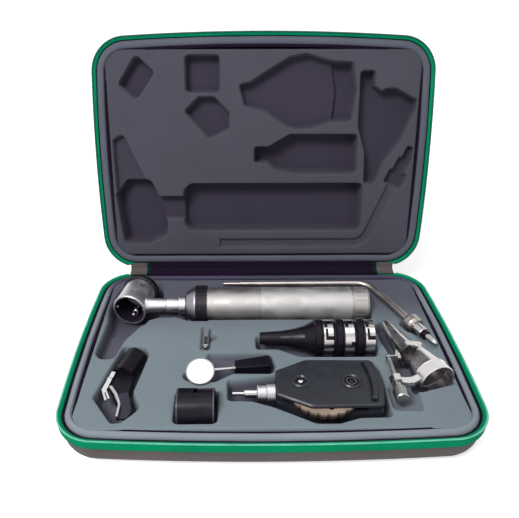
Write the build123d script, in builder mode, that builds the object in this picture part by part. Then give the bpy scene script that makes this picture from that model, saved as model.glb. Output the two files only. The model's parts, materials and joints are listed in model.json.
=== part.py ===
from build123d import *
import os
from math import atan2, cos, degrees, hypot, pi, radians, sin, tan

os.makedirs("parts", exist_ok=True)

# Otoscope carry case: a zipped, moulded hard-fabric case with a foam insert in each half,
# and the instruments that lie in it. Millimetres. The origin is the centre of the base's
# underside, +Z up, +Y towards the hinge, +X to the right of someone opening it.

# ---------------------------------------------------------------- driving dimensions
CASE_LENGTH = 289.5          # moulded shell at its rim, across the middle of its bowed ends
CASE_FRONT = 102.0           # the bowed front edge, from the origin at its middle
CASE_BACK = 99.5             # the straight back edge, from the origin
CASE_CORNER = 28.0           # plan radius of the shell's corners
FRONT_BOW = 1900.0           # radius of the bowed front edge
END_BOW = 1500.0             # radius of the bowed ends
HALF_HEIGHT = 30.5           # one half, from its flat face to the rim plane
SHELL_WALL = 3.5
SHELL_TOP = 4.5              # the shell's edge lies this far below the rim plane
DRAFT = 5.0                  # wall draft in degrees
FLOOR_RADIUS = 17.0

INSERT_LENGTH = 268.0        # foam insert
INSERT_WIDTH = 180.0
INSERT_CORNER = 14.0
INSERT_DROP = 1.5            # foam face below the rim plane
INSERT_DEPTH = 25.0
INSERT_EDGE = 3.0            # rounding of the foam's outer top edge
INSERT_GAP = 1.2             # gap between foam and lining

LINING_LIP = 1.3             # how far the lining stops inside the shell's outer face
LINING_DEPTH = 13.5
LINING_ROLL = 2.0            # rounding of the lining's roll

TAPE_THICK = 1.3
TAPE_LOW = 10.0              # zip tape runs from here to the coil, below the rim plane
COIL_LOW = 1.25
COIL_TOP = 0.2
COIL_OUT = 2.3               # how far the coil reaches outside the shell
COIL_IN = 1.1                # how far it reaches over the shell's edge
COIL_END = 123.5             # the coil stops this far from the middle of the back
ZIP_END = 106.5              # and the tape this far

HINGE_Y = 104.3              # hinge line, in the rim plane behind the shell
OPEN_ANGLE = 102.5           # lid angle from closed, at rest
WEB_THICK = 0.9              # hinge web of doubled fabric
WEB_HALF = 122.5

FACE_Z = HALF_HEIGHT - INSERT_DROP      # height of the base foam's face

# ---------------------------------------------------------------- frames
UP_LID = (0, -cos(radians(OPEN_ANGLE)), sin(radians(OPEN_ANGLE)))
OUT_LID = (0, -sin(radians(OPEN_ANGLE)), -cos(radians(OPEN_ANGLE)))
LID_ORIGIN = (0, HINGE_Y + HINGE_Y * UP_LID[1], HALF_HEIGHT + HINGE_Y * UP_LID[2])

BASE = Plane(origin=(0, 0, HALF_HEIGHT), x_dir=(1, 0, 0), z_dir=(0, 0, 1))
LID = Plane(origin=LID_ORIGIN, x_dir=(1, 0, 0), z_dir=OUT_LID)


def lying(x, y, height, heading):
    """A frame on an instrument's axis: x runs along it, z is up; height is above the foam face."""
    turn = radians(heading)
    return Plane(origin=(x, y, FACE_Z + height), x_dir=(cos(turn), sin(turn), 0), z_dir=(0, 0, 1))


def keep(piece, name):
    """Label a finished piece and write it."""
    piece.part.label = name
    export_step(piece.part, f"parts/{name}.step")


def lathe(frame, *points, mode=Mode.ADD):
    """Turn a closed half profile of (along, radius) points round a frame's x axis."""
    with BuildSketch(frame) as half:
        with BuildLine():
            Polyline(*points, close=True)
        make_face()
    revolve(half.sketch, axis=Axis(frame.origin, frame.x_dir), mode=mode)


def tube(frame, start, end, outer, inner):
    """Turn a plain tube between two stations on a frame's x axis."""
    lathe(frame, (start, inner), (start, outer), (end, outer), (end, inner))


def bar(frame, start, end, radius):
    """Turn a plain round bar between two stations on a frame's x axis."""
    lathe(frame, (start, 0), (start, radius), (end, radius), (end, 0))


def flutes(frame, start, end, radius, depth, width, count):
    """Cut equal square flutes along a turned rim."""
    station = Plane(frame.from_local_coords((start, 0, 0)), x_dir=frame.y_dir, z_dir=frame.x_dir)
    with BuildSketch(station) as cuts:
        with PolarLocations(radius, count):
            Rectangle(2 * depth, width)
    extrude(cuts.sketch, amount=end - start, mode=Mode.SUBTRACT)


def slab(frame, corners, low, high, mode=Mode.ADD):
    """Extrude a closed outline of (x, y, corner radius) points from low to high in a frame."""
    with BuildSketch(frame.offset(low)) as outline:
        with BuildLine():
            FilletPolyline(*[(x, y) for x, y, _ in corners], radius=[r for _, _, r in corners], close=True)
        make_face()
    extrude(outline.sketch, amount=high - low, mode=mode)


def mirrored(corners):
    """The same outline as it lies on the lid's own face, where the plan's y runs backwards."""
    return [(x, -y, r) for x, y, r in reversed(corners)]


# ---------------------------------------------------------------- case halves
def rim_face(outset, back):
    """The case's plan at its rim, moved outwards: bowed front and ends, straight back."""
    with BuildSketch(mode=Mode.PRIVATE) as plan:
        with Locations((0, back * (CASE_BACK + outset - CASE_LENGTH / 2))):
            Rectangle(2 * CASE_LENGTH, CASE_LENGTH)
        with Locations((0, back * (FRONT_BOW - CASE_FRONT))):
            Circle(FRONT_BOW + outset, mode=Mode.INTERSECT)
        for end in (-1, 1):
            with Locations(Location((end * (CASE_LENGTH / 2 - END_BOW), 0, 0), (0, 0, 90))):
                Circle(END_BOW + outset, mode=Mode.INTERSECT)
        fillet(plan.vertices(), CASE_CORNER + outset)
    return plan.sketch_local


def tub_form(mouth, back, inset, low, floor_radius):
    """A solid drafted form, inset from the shell's outer face; the shell is one less another."""
    plan = rim_face(-inset, back)
    with BuildPart() as form:
        with BuildSketch(mouth.offset(-SHELL_TOP)) as rim:
            add(plan)
        extrude(rim.sketch, amount=SHELL_TOP - low, taper=DRAFT)
        fillet(form.edges().group_by(Axis(mouth.origin, mouth.z_dir))[0], floor_radius)
    return form.part


def rim_lining(piece, mouth, back):
    """The padded fabric roll that lines the wall and caps the shell's edge."""
    inner_length = INSERT_LENGTH + 2 * INSERT_GAP
    inner_width = INSERT_WIDTH + 2 * INSERT_GAP
    inner_corner = INSERT_CORNER + INSERT_GAP
    cap_plan = rim_face(-LINING_LIP, back)
    wall_plan = rim_face(-SHELL_WALL - 1.2, back)
    with BuildSketch(mouth.offset(-SHELL_TOP + 0.1)) as cap:
        add(cap_plan)
        RectangleRounded(inner_length, inner_width, inner_corner, mode=Mode.SUBTRACT)
    extrude(cap.sketch, amount=SHELL_TOP - 0.4)
    fillet(piece.edges().group_by(Axis(mouth.origin, mouth.z_dir))[-1], LINING_ROLL)
    with BuildSketch(mouth.offset(-LINING_DEPTH)) as wall:
        add(wall_plan)
        RectangleRounded(inner_length, inner_width, inner_corner, mode=Mode.SUBTRACT)
    extrude(wall.sketch, amount=LINING_DEPTH - SHELL_TOP + 0.6)


def foam_block(piece, mouth):
    """The insert before its pockets are cut."""
    depth = Axis(mouth.origin, mouth.z_dir)
    with BuildSketch(mouth.offset(-INSERT_DROP)) as face:
        RectangleRounded(INSERT_LENGTH, INSERT_WIDTH, INSERT_CORNER)
    extrude(face.sketch, amount=-INSERT_DEPTH, taper=DRAFT)
    fillet(piece.edges().group_by(depth)[0], 10.0)
    fillet(piece.edges().group_by(depth)[-1], INSERT_EDGE)


def zip_band(mouth, back, low, top, inside, outside, stop):
    """A band round the rim on three sides, which stops short of the middle of the back."""
    outer = rim_face(outside, back)
    inner = rim_face(inside, back)
    with BuildSketch(mouth.offset(-low)) as band:
        add(outer)
        add(inner, mode=Mode.SUBTRACT)
        with Locations((0, back * CASE_BACK)):
            Rectangle(2 * stop, 20, mode=Mode.SUBTRACT)
    extrude(band.sketch, amount=low - top)


def hinge_web(mouth, back):
    """Half of the hinge web: it leaves the rim and ends at the hinge line."""
    start = CASE_BACK - LINING_LIP + 0.1
    middle = (start + HINGE_Y - 0.3) / 2
    with BuildSketch(mouth.offset(-WEB_THICK - 0.15)) as web:
        with Locations((0, back * middle)):
            Rectangle(2 * WEB_HALF, HINGE_Y - 0.3 - start)
    extrude(web.sketch, amount=WEB_THICK)


# ---------------------------------------------------------------- stations of the instruments
HANDLE_Y = 45.3
HANDLE = lying(0, HANDLE_Y, 3, 0)
HANDLE_R = 14.75
HEAD_TURN = 78.0
HEAD = lying(-113.4, 37.9, 3, HEAD_TURN)
HEAD_R = 13.8
LENS_RING_R = 15.8
RHEOSTAT_R = 16.5

ARM_HEIGHT = 2.0
ARM_Y = 79.3
ARM_CORNER_X = 93.0
ARM_TURN = -66.9
ARM_BEND = 16.0
ARM_STRAIGHT = lying(0, ARM_Y, ARM_HEIGHT, 0)
ARM_LEG = lying(ARM_CORNER_X, ARM_Y, ARM_HEIGHT, ARM_TURN)
ARM_TANGENT = ARM_BEND * tan(radians(-ARM_TURN / 2))

SPECULA = lying(36, -1.5, 4, 0)
SPECULUM_PITCH = (0.0, 16.0, 31.5)
SPECULUM_TIP = (4.7, 3.4, 2.2)
FLANGE_R = 14.8

SCOPE_Y = -54.6
SCOPE = lying(0, SCOPE_Y, 0, 0)
SCOPE_NECK = lying(0, SCOPE_Y, -3.0, 0)
SCOPE_LOW = -15.0
WHEEL_LOW = 0.6
WHEEL_TOP = 5.2
SCOPE_FACE_LOW = 5.6
SCOPE_FACE_TOP = 8.2
WHEEL_X = 36.5
WHEEL_SIDE = -2.7            # the wheel's centre lies this far towards the front
WHEEL_R = 25.8
SIGHT_X = 55.7
LIGHT_X = 20.3

NASAL_TURN = 107.2
NASAL = lying(118.4, -49.0, 2, NASAL_TURN)
NASAL_R = 13.2
NASAL_PIVOT = (29.4, -2.2)          # in the speculum's own frame, where y is to its left
BLADE_START = 31.0
BLADE_SIDE = 4.2
BLADE_LEAN = -4.4
SCREW = lying(88.4, -50.8, 5, 90)

MIRROR_TILT = 22.5
MIRROR_X = -50.1
MIRROR_Y = -40.4
MIRROR_HEIGHT = 5.2
MIRROR_R = 10.3

BARREL = lying(-51.5, -70.0, -1, 0)
BARREL_R = 13.2
HOLDER = lying(-100.6, -9.8, -5.4, -107.0)
HOLDER_R = 8.0
BULB = lying(-48.0, 4.7, -0.6, 90)
BULB_R = 2.5

# ---------------------------------------------------------------- outlines of the hollows
HANDLE_POCKET = [(-67.5, 29.8, 7), (87.8, 29.8, 3), (87.8, 60.8, 3), (-67.5, 60.8, 7)]
RHEOSTAT_POCKET = [(-61.0, 28.2, 1), (-47.8, 28.2, 1), (-47.8, 62.4, 1), (-61.0, 62.4, 1)]
NECK_POCKET = [(-100, 27, 4), (-90, 33.0, 10), (-74, 33.6, 6), (-62, 27.5, 2), (-62, 62, 2), (-100, 62, 2)]
HEAD_POCKET = [(-127.5, 22, 2), (-100, 22, 4), (-88.5, 50, 6), (-88.2, 69, 4), (-104, 77, 4),
               (-124.8, 77, 4), (-131, 48, 6)]
TROUGH = [(-127.8, 36, 1), (-130.6, -13, 4), (-126, -19, 4), (-117.4, -18.4, 3), (-112.5, 2.6, 14),
          (-101, 24, 1), (-101, 36, 1)]
ARM_POCKET_HALF = 3.6
SPECULA_POCKET = [(-8, -8.5, 2), (8, -8.5, 8), (24, -17.4, 8), (83.2, -17.4, 3), (83.2, 14.4, 3),
                  (24, 14.4, 8), (8, 5.5, 8), (-8, 5.5, 2)]
SCOPE_POCKET = [(-29.4, -62.9, 2), (-12.9, -63.7, 0), (2.5, -69.6, 0), (15, -76.4, 0), (29, -84.2, 9),
                (44, -84.2, 9), (58, -79.4, 0), (79.6, -79.0, 3), (79.6, -30.2, 3), (58, -29.8, 0),
                (44, -25.6, 0), (29, -25.6, 0), (15, -33.4, 0), (4.3, -39.2, 0), (-9.1, -41.6, 0),
                (-29.6, -44.3, 2)]
NASAL_POCKET = [(104.6, -56.2, 3), (131.7, -47.4, 1), (131.7, -43.0, 1), (122.2, -17.5, 3), (103.2, 21.2, 3),
                (94.8, 24.6, 3), (88.6, 19.4, 3), (89.8, 0, 0), (93.6, -18, 0), (94.6, -42, 3)]
KNOB_POCKET = [(83.0, -73.0, 3), (102.0, -74.0, 3), (103.0, -52, 0), (83.0, -52, 3)]
MIRROR_POCKET = [(-63.2, -39.4, 3), (-57.3, -44.3, 4), (-39.8, -44.4, 4), (-26.7, -35.7, 4), (1.7, -35.9, 3),
                 (4.4, -28.4, 3), (1.0, -14.0, 3), (-44.2, -14.0, 3), (-46.3, -20.2, 0)]
BARREL_POCKET = [(-65.3, -83.9, 3), (-37.7, -83.9, 3), (-37.7, -56.1, 3), (-65.3, -56.1, 3)]
HOLDER_POCKET = [(-95.0, -6.0, 3), (-110.4, -5.8, 3), (-117.0, -33.6, 0), (-122.6, -60.0, 3),
                 (-106.2, -83.4, 3), (-100.8, -82.6, 0), (-94.6, -75.6, 0), (-90.7, -69.5, 3),
                 (-97.4, -54.4, 3), (-91.2, -14.5, 3)]
BULB_POCKET = [(-51.4, -9.4, 2), (-44.6, -9.4, 2), (-44.6, 18.8, 2), (-51.4, 18.8, 2)]

LID_HANDLE = [(-70, 24.6, 9), (88.6, 24.6, 4), (88.6, 66.4, 4), (-70, 66.4, 9)]
LID_NECK = [(-96, 36, 3), (-64, 36, 1), (-64, 54.6, 1), (-96, 54.6, 3)]
LID_HEAD = [(-130.6, 33, 4), (-121.5, 20.6, 5), (-101, 20.6, 5), (-93, 38, 6), (-87.2, 60, 4),
            (-88.4, 71, 4), (-104, 78.4, 4), (-125.6, 78.0, 4)]
LID_TROUGH = [(-129.8, 30, 1), (-130.6, -15, 3), (-122.6, -19.4, 3), (-110.6, 8, 10), (-103, 24, 1),
              (-103, 30, 1)]
LID_SPECULA = [(-6.8, -8.0, 2), (5.3, -7.9, 5), (23.3, -18.7, 5), (82.0, -18.5, 3), (82.2, 14.0, 3),
               (30.0, 14.0, 0), (11.7, 10.8, 0), (4.0, 4.4, 0), (-6.8, 4.4, 2)]
LID_SCOPE = [(-20.2, -60.6, 2), (-10.8, -62.8, 0), (3.3, -71.8, 0), (21.8, -82.8, 6), (35.7, -85.4, 0),
             (49.9, -81.2, 0), (58.2, -79.0, 0), (75.0, -78.6, 3), (79.0, -54.6, 0), (75.2, -30.8, 3),
             (59.2, -30.4, 0), (42.5, -25.8, 0), (30.4, -24.4, 5), (20.7, -27.0, 0), (1.3, -39.9, 0),
             (-15.5, -44.1, 2)]
LID_BROW = [(58.6, -78.4, 0), (73.6, -77.6, 3), (78.0, -54.6, 0), (74.0, -31.8, 3), (60.8, -31.4, 0),
            (62.6, -54.0, 0)]
LID_NASAL = [(83.1, -71.6, 2), (93.7, -71.6, 2), (94.5, -59.2, 0), (100.8, -54.7, 2), (105.4, -57.2, 0),
             (113.0, -57.2, 3), (131.4, -47.6, 2), (131.4, -43.4, 0), (119.4, -14.5, 4), (105.2, 5.7, 0),
             (98.8, 23.4, 2), (91.4, 23.4, 2), (90.6, -4.0, 0), (83.6, -25.7, 3)]
LID_ARM_PLUG = [(109.2, 22.1, 1), (113.8, 11.3, 1), (116.0, 12.2, 0), (120.9, 0.8, 1), (123.4, 1.9, 0),
                (127.6, -8.6, 1), (132.4, -7.0, 1), (130.2, 4.6, 1), (125.4, 16.0, 0), (127.8, 17.0, 1),
                (123.0, 28.2, 1)]
LID_BARREL = [(-65.6, -84.4, 3), (-38.0, -84.4, 3), (-38.0, -55.4, 3), (-65.6, -55.4, 3)]
LID_MIRROR = [(-55.4, -50.6, 3), (-42.6, -50.6, 3), (-30.0, -37.4, 0), (-30.0, -25.2, 3), (-46.8, -16.6, 3),
              (-67.4, -39.2, 3)]
LID_HOLDER = [(-107.4, -84.6, 3), (-93.4, -71, 3), (-108.6, -49.6, 3), (-122.8, -61.6, 3)]

# How deep each hollow is, below the face of its own insert.
HANDLE_FLOOR = 12.1
RHEOSTAT_FLOOR = 14.0
HEAD_FLOOR = 14.4

# ---------------------------------------------------------------- base half
base_outer = tub_form(BASE, 1, 0, HALF_HEIGHT, FLOOR_RADIUS)
base_mould = tub_form(BASE, 1, SHELL_WALL, HALF_HEIGHT - SHELL_WALL, FLOOR_RADIUS - SHELL_WALL)
with BuildPart() as base_shell:
    add(base_outer)
    add(base_mould, mode=Mode.SUBTRACT)
keep(base_shell, "base_shell")

with BuildPart() as base_lining:
    rim_lining(base_lining, BASE, 1)
keep(base_lining, "base_lining")


def groove(frame, start, end, half_width, depth):
    """Cut a straight round-ended groove along an instrument's axis into the base foam."""
    with BuildSketch(frame.offset(-ARM_HEIGHT - depth)) as slot:
        with Locations(((start + end) / 2, 0)):
            RectangleRounded(end - start, 2 * half_width, half_width * 0.9)
    extrude(slot.sketch, amount=depth + 5, mode=Mode.SUBTRACT)


def arm_groove(face, side, leg, half_width, low):
    """Cut the bent groove of the illuminator arm; side is 1 on the base and -1 on the lid's face."""
    run = leg * cos(radians(ARM_TURN))
    drop = leg * sin(radians(ARM_TURN))
    with BuildSketch(face.offset(low)) as bent:
        with BuildLine() as path:
            FilletPolyline((-38.4, side * ARM_Y), (ARM_CORNER_X, side * ARM_Y),
                           (ARM_CORNER_X + run, side * (ARM_Y + drop)), radius=ARM_BEND)
        trace(path.line, line_width=2 * half_width)
    extrude(bent.sketch, amount=8, mode=Mode.SUBTRACT)


FOAM_FACE = Plane(origin=(0, 0, FACE_Z), x_dir=(1, 0, 0), z_dir=(0, 0, 1))
POCKET_TOP = 5.0
with BuildPart() as base_foam:
    foam_block(base_foam, BASE)
    slab(FOAM_FACE, HANDLE_POCKET, -HANDLE_FLOOR, POCKET_TOP, Mode.SUBTRACT)
    slab(FOAM_FACE, RHEOSTAT_POCKET, -RHEOSTAT_FLOOR, POCKET_TOP, Mode.SUBTRACT)
    slab(FOAM_FACE, NECK_POCKET, -8.0, POCKET_TOP, Mode.SUBTRACT)
    slab(FOAM_FACE, HEAD_POCKET, -HEAD_FLOOR, POCKET_TOP, Mode.SUBTRACT)
    slab(FOAM_FACE, TROUGH, -12.6, POCKET_TOP, Mode.SUBTRACT)
    arm_groove(FOAM_FACE, 1, 62, ARM_POCKET_HALF, -1.4)
    groove(ARM_LEG, 56, 74, 8.0, 5.6)
    groove(ARM_LEG, 66, 96.2, 5.3, 3.0)
    slab(FOAM_FACE, SPECULA_POCKET, -11.1, POCKET_TOP, Mode.SUBTRACT)
    slab(FOAM_FACE, SCOPE_POCKET, SCOPE_LOW - 0.3, POCKET_TOP, Mode.SUBTRACT)
    slab(FOAM_FACE, NASAL_POCKET, -11.6, POCKET_TOP, Mode.SUBTRACT)
    slab(FOAM_FACE, KNOB_POCKET, -5.0, POCKET_TOP, Mode.SUBTRACT)
    slab(FOAM_FACE, MIRROR_POCKET, -8.4, POCKET_TOP, Mode.SUBTRACT)
    slab(FOAM_FACE, BARREL_POCKET, -14.5, POCKET_TOP, Mode.SUBTRACT)
    slab(FOAM_FACE, HOLDER_POCKET, -13.7, POCKET_TOP, Mode.SUBTRACT)
    slab(FOAM_FACE, BULB_POCKET, -3.4, POCKET_TOP, Mode.SUBTRACT)
    with BuildSketch(FOAM_FACE.offset(-6.0)) as finger_notches:
        with Locations((-44.4, 6.0)):
            Circle(4.2)
    extrude(finger_notches.sketch, amount=12, mode=Mode.SUBTRACT)
keep(base_foam, "base_foam")

with BuildPart() as base_zip_tape:
    zip_band(BASE, 1, TAPE_LOW, COIL_LOW, 0.1, 0.1 + TAPE_THICK, ZIP_END)
keep(base_zip_tape, "base_zip_tape")

with BuildPart() as base_zip_coil:
    zip_band(BASE, 1, COIL_LOW, COIL_TOP, -COIL_IN, COIL_OUT, COIL_END)
keep(base_zip_coil, "base_zip_coil")

with BuildPart() as hinge_web_base:
    hinge_web(BASE, 1)
keep(hinge_web_base, "hinge_web_base")

# ---------------------------------------------------------------- lid half
lid_outer = tub_form(LID, -1, 0, HALF_HEIGHT, FLOOR_RADIUS)
lid_mould = tub_form(LID, -1, SHELL_WALL, HALF_HEIGHT - SHELL_WALL, FLOOR_RADIUS - SHELL_WALL)
with BuildPart() as lid_shell:
    add(lid_outer)
    add(lid_mould, mode=Mode.SUBTRACT)
keep(lid_shell, "lid_shell")

with BuildPart() as lid_lining:
    rim_lining(lid_lining, LID, -1)
keep(lid_lining, "lid_lining")

LID_FACE = LID.offset(-INSERT_DROP)
LID_HOLLOWS = [
    (LID_HANDLE, 17.6),
    (LID_NECK, 9.5),
    (LID_HEAD, 18.0),
    (LID_TROUGH, 6.0),
    (LID_SPECULA, 17.0),
    (LID_SCOPE, 10.4),
    (LID_BROW, 14.6),
    (LID_NASAL, 13.6),
    (LID_ARM_PLUG, 7.4),
    (LID_BARREL, 11.4),
    (LID_MIRROR, 10.4),
    (LID_HOLDER, 10.4),
]
with BuildPart() as lid_foam:
    foam_block(lid_foam, LID)
    for corners, depth in LID_HOLLOWS:
        slab(LID_FACE, mirrored(corners), -depth, POCKET_TOP, Mode.SUBTRACT)
    arm_groove(LID_FACE, -1, 60, 3.4, -2.9)
keep(lid_foam, "lid_foam")

with BuildPart() as lid_zip_tape:
    zip_band(LID, -1, TAPE_LOW, COIL_LOW, 0.1, 0.1 + TAPE_THICK, ZIP_END)
keep(lid_zip_tape, "lid_zip_tape")

with BuildPart() as lid_zip_coil:
    zip_band(LID, -1, COIL_LOW, COIL_TOP, -COIL_IN, COIL_OUT, COIL_END)
keep(lid_zip_coil, "lid_zip_coil")

with BuildPart() as hinge_web_lid:
    hinge_web(LID, -1)
keep(hinge_web_lid, "hinge_web_lid")

# ---------------------------------------------------------------- zip sliders and pulls
SLIDER_X = 111.6
SLIDER_WIDTH = 8.0
SLIDER_LOW = HALF_HEIGHT - 10.4
SLIDER_HIGH = HALF_HEIGHT - 1.5
SLIDER_FACE = CASE_BACK + 0.1 + TAPE_THICK + 0.1
SLIDER_THICK = 2.0
PULL_PIVOT_Y = SLIDER_FACE + SLIDER_THICK + 0.95
PULL_PIVOT_Z = SLIDER_LOW + 3.6
PULL_LENGTH = 18.0

for side, name in ((-1, "left"), (1, "right")):
    back_face = Plane(origin=(side * SLIDER_X, SLIDER_FACE, (SLIDER_LOW + SLIDER_HIGH) / 2),
                      x_dir=(-1, 0, 0), z_dir=(0, 1, 0))
    with BuildPart() as slider:
        with BuildSketch(back_face):
            RectangleRounded(SLIDER_WIDTH, SLIDER_HIGH - SLIDER_LOW, 2.4)
        extrude(amount=SLIDER_THICK)
        chamfer(slider.edges().group_by(Axis.Y)[-1], 0.5)
        bridge = Plane(origin=(side * SLIDER_X - 1.1, PULL_PIVOT_Y - 0.95, PULL_PIVOT_Z),
                       x_dir=(0, 1, 0), z_dir=(1, 0, 0))
        with BuildSketch(bridge) as loop:
            with Locations((0.65, 0)):
                RectangleRounded(3.0, 4.6, 1.4)
            with Locations((0.95, 0)):
                Circle(0.85, mode=Mode.SUBTRACT)
        extrude(loop.sketch, amount=2.2)
    keep(slider, f"zip_slider_{name}")

    pull_plane = Plane(origin=(side * SLIDER_X, PULL_PIVOT_Y, PULL_PIVOT_Z), x_dir=(-1, 0, 0), z_dir=(0, 1, 0))
    with BuildPart() as pull:
        with BuildSketch(pull_plane.offset(-0.6)) as tab:
            with Locations((0, -PULL_LENGTH / 2 + 0.6)):
                RectangleRounded(6.4, PULL_LENGTH, 2.6)
            Rectangle(3.0, 5.6, mode=Mode.SUBTRACT)
            with Locations((0, -PULL_LENGTH + 4.6)):
                Circle(1.3, mode=Mode.SUBTRACT)
        extrude(tab.sketch, amount=1.2)
        pivot_axis = Plane(origin=(side * SLIDER_X - 2.4, PULL_PIVOT_Y, PULL_PIVOT_Z), x_dir=(0, 1, 0),
                           z_dir=(1, 0, 0))
        with BuildSketch(pivot_axis) as crossbar:
            Circle(0.6)
        extrude(crossbar.sketch, amount=4.8)
    keep(pull, f"zip_pull_{name}")

# ---------------------------------------------------------------- battery handle
SHOULDER_START = -65.9
RING_START = -57.9
BARREL_START = -48.4
GRIP_START = -3.4
GRIP_END = 71.8
CAP_END = 86.6

with BuildPart() as handle_barrel:
    lathe(HANDLE, (BARREL_START, 13.6), (BARREL_START, HANDLE_R), (GRIP_START - 0.8, HANDLE_R),
          (GRIP_START - 0.8, HANDLE_R - 0.35), (GRIP_START, HANDLE_R - 0.35), (GRIP_START, 13.6))
keep(handle_barrel, "handle_barrel")

with BuildPart() as handle_grip:
    tube(HANDLE, GRIP_START, GRIP_END, HANDLE_R + 0.1, 13.6)
keep(handle_grip, "handle_grip")

with BuildPart() as handle_shoulder:
    lathe(HANDLE, (SHOULDER_START, 3.0), (SHOULDER_START, 10.6), (SHOULDER_START + 1.0, 11.6),
          (RING_START - 1.4, 15.4), (RING_START - 0.1, 15.4), (RING_START - 0.1, 12.0),
          (BARREL_START - 0.1, 12.0), (BARREL_START - 0.1, 13.5), (BARREL_START + 5, 13.5),
          (BARREL_START + 5, 3.0))
keep(handle_shoulder, "handle_shoulder")

with BuildPart() as rheostat_ring:
    tube(HANDLE, RING_START, BARREL_START - 0.2, RHEOSTAT_R, 12.08)
    flutes(HANDLE, RING_START + 1.6, BARREL_START - 1.8, RHEOSTAT_R, 0.4, 1.7, 24)
keep(rheostat_ring, "rheostat_ring")

with BuildPart() as handle_coupling:
    lathe(HANDLE, (-83.2, 2.6), (-83.2, 5.6), (-82.6, 6.2), (-72.9, 6.2), (-72.9, 7.2), (-72.2, 7.9),
          (-70.2, 7.9), (-70.2, 7.4), (-69.4, 7.4), (-69.4, 7.9), (-67.0, 7.9),
          (SHOULDER_START - 0.05, 7.0), (SHOULDER_START - 0.05, 2.6))
keep(handle_coupling, "handle_coupling")

CELL_START = -38.0
CELL_LENGTH = 50.0
with BuildPart() as battery_cells:
    for index in range(2):
        start = CELL_START + index * CELL_LENGTH
        lathe(HANDLE, (start, 0), (start, 3.6), (start + 1.6, 3.6), (start + 1.6, 12.4),
              (start + 2.4, 13.1), (start + CELL_LENGTH - 0.8, 13.1), (start + CELL_LENGTH - 0.1, 12.4),
              (start + CELL_LENGTH - 0.1, 0))
keep(battery_cells, "battery_cells")

with BuildPart() as end_cap:
    lathe(HANDLE, (66.0, 11.4), (66.0, 13.45), (GRIP_END + 0.1, 13.45), (GRIP_END + 0.1, HANDLE_R - 0.5),
          (73.2, HANDLE_R - 0.5), (73.2, HANDLE_R + 0.1), (CAP_END - 2.2, HANDLE_R + 0.1),
          (CAP_END - 0.6, HANDLE_R - 0.8), (CAP_END, HANDLE_R - 2.4), (CAP_END, 0), (73.0, 0), (73.0, 11.4))
    flutes(HANDLE, 75.2, 83.2, HANDLE_R, 0.3, 1.2, 24)
keep(end_cap, "end_cap")

SPRING_LOW = CELL_START + 2 * CELL_LENGTH + 0.8
SPRING_PITCH = 3.2
SPRING_R = 9.0
SPRING_STEPS = 10            # straight wires in one turn
SPRING_TURNS = 2.8
spring_points = []
for step in range(round(SPRING_STEPS * SPRING_TURNS) + 1):
    turn = 2 * pi * step / SPRING_STEPS
    rise = SPRING_LOW + SPRING_PITCH * step / SPRING_STEPS
    spring_points.append(HANDLE.from_local_coords((rise, SPRING_R * cos(turn), SPRING_R * sin(turn))))
with BuildPart() as contact_spring:
    with BuildLine() as coil_path:
        Polyline(*spring_points)
    with BuildSketch(Plane(origin=coil_path.line @ 0, z_dir=coil_path.line % 0)):
        Rectangle(0.9, 0.9)
    sweep(path=coil_path.line, transition=Transition.RIGHT)
keep(contact_spring, "contact_spring")

# ---------------------------------------------------------------- otoscope head
HEAD_LENGTH = 27.0
with BuildPart() as head_shell:
    bar(HEAD, 0.8, HEAD_LENGTH, HEAD_R)
    lathe(HEAD, (0, 0), (0, HEAD_R - 0.1), (0.5, HEAD_R + 0.35), (1.4, HEAD_R + 0.35), (2.0, HEAD_R), (2.0, 0))
    lathe(HANDLE, (-110, 0), (-110, 8.6), (-100.5, 7.6), (-97, 6.4), (-92, 5.9), (-85.6, 5.7),
          (-85.6, 5.3), (-84.6, 5.3), (-84.6, 6.0), (-83.3, 6.0), (-83.3, 0))
    lathe(HEAD, (-1, 0), (-1, 12.6), (24, 12.6), (24, 11.6), (HEAD_LENGTH + 1, 11.6), (HEAD_LENGTH + 1, 0),
          mode=Mode.SUBTRACT)
    lathe(HANDLE, (-112, 0), (-112, 2.8), (-80, 2.8), (-80, 0), mode=Mode.SUBTRACT)
    for side in (-1, 1):
        with BuildSketch(Plane(HEAD.from_local_coords((3.4, side * 13.2, 0)), x_dir=HEAD.x_dir,
                               z_dir=HEAD.y_dir * -side)) as pin:
            Circle(0.9)
        extrude(pin.sketch, amount=2.4)
keep(head_shell, "head_shell")

LAMP_DROP = -6.4
LAMP = Plane(HEAD.from_local_coords((0, -2.0, LAMP_DROP)), x_dir=HEAD.x_dir, z_dir=(0, 0, 1))
with BuildPart() as head_lamp:
    lathe(LAMP, (2.6, 0), (3.4, 1.3), (8.0, 1.5), (8.0, 2.1), (13.5, 2.1), (13.5, 0))
    with BuildSketch(Plane(LAMP.from_local_coords((11.5, 0, -1)), x_dir=LAMP.x_dir, z_dir=(0, 0, -1))) as post:
        Rectangle(2.6, 2.2)
    extrude(post.sketch, amount=4.6)
keep(head_lamp, "head_lamp")

with BuildPart() as lens_ring:
    lathe(HEAD, (HEAD_LENGTH + 0.15, 11.6), (HEAD_LENGTH + 0.15, LENS_RING_R - 0.8),
          (HEAD_LENGTH + 0.9, LENS_RING_R), (31.8, LENS_RING_R), (32.6, LENS_RING_R - 0.8), (32.6, 12.7),
          (28.6, 12.7), (28.6, 11.6))
    flutes(HEAD, HEAD_LENGTH + 1, 31.7, LENS_RING_R, 0.6, 1.7, 24)
keep(lens_ring, "lens_ring")

with BuildPart() as magnifier_lens:
    with BuildSketch(HEAD) as lens_half:
        with BuildLine():
            Line((28.7, 0), (28.7, 12.6))
            Line((28.7, 12.6), (30.4, 12.6))
            RadiusArc((30.4, 12.6), (32.4, 0), (12.6 ** 2 + 2.0 ** 2) / (2 * 2.0))
            Line((32.4, 0), (28.7, 0))
        make_face()
    revolve(lens_half.sketch, axis=Axis(HEAD.origin, HEAD.x_dir))
keep(magnifier_lens, "magnifier_lens")

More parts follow.
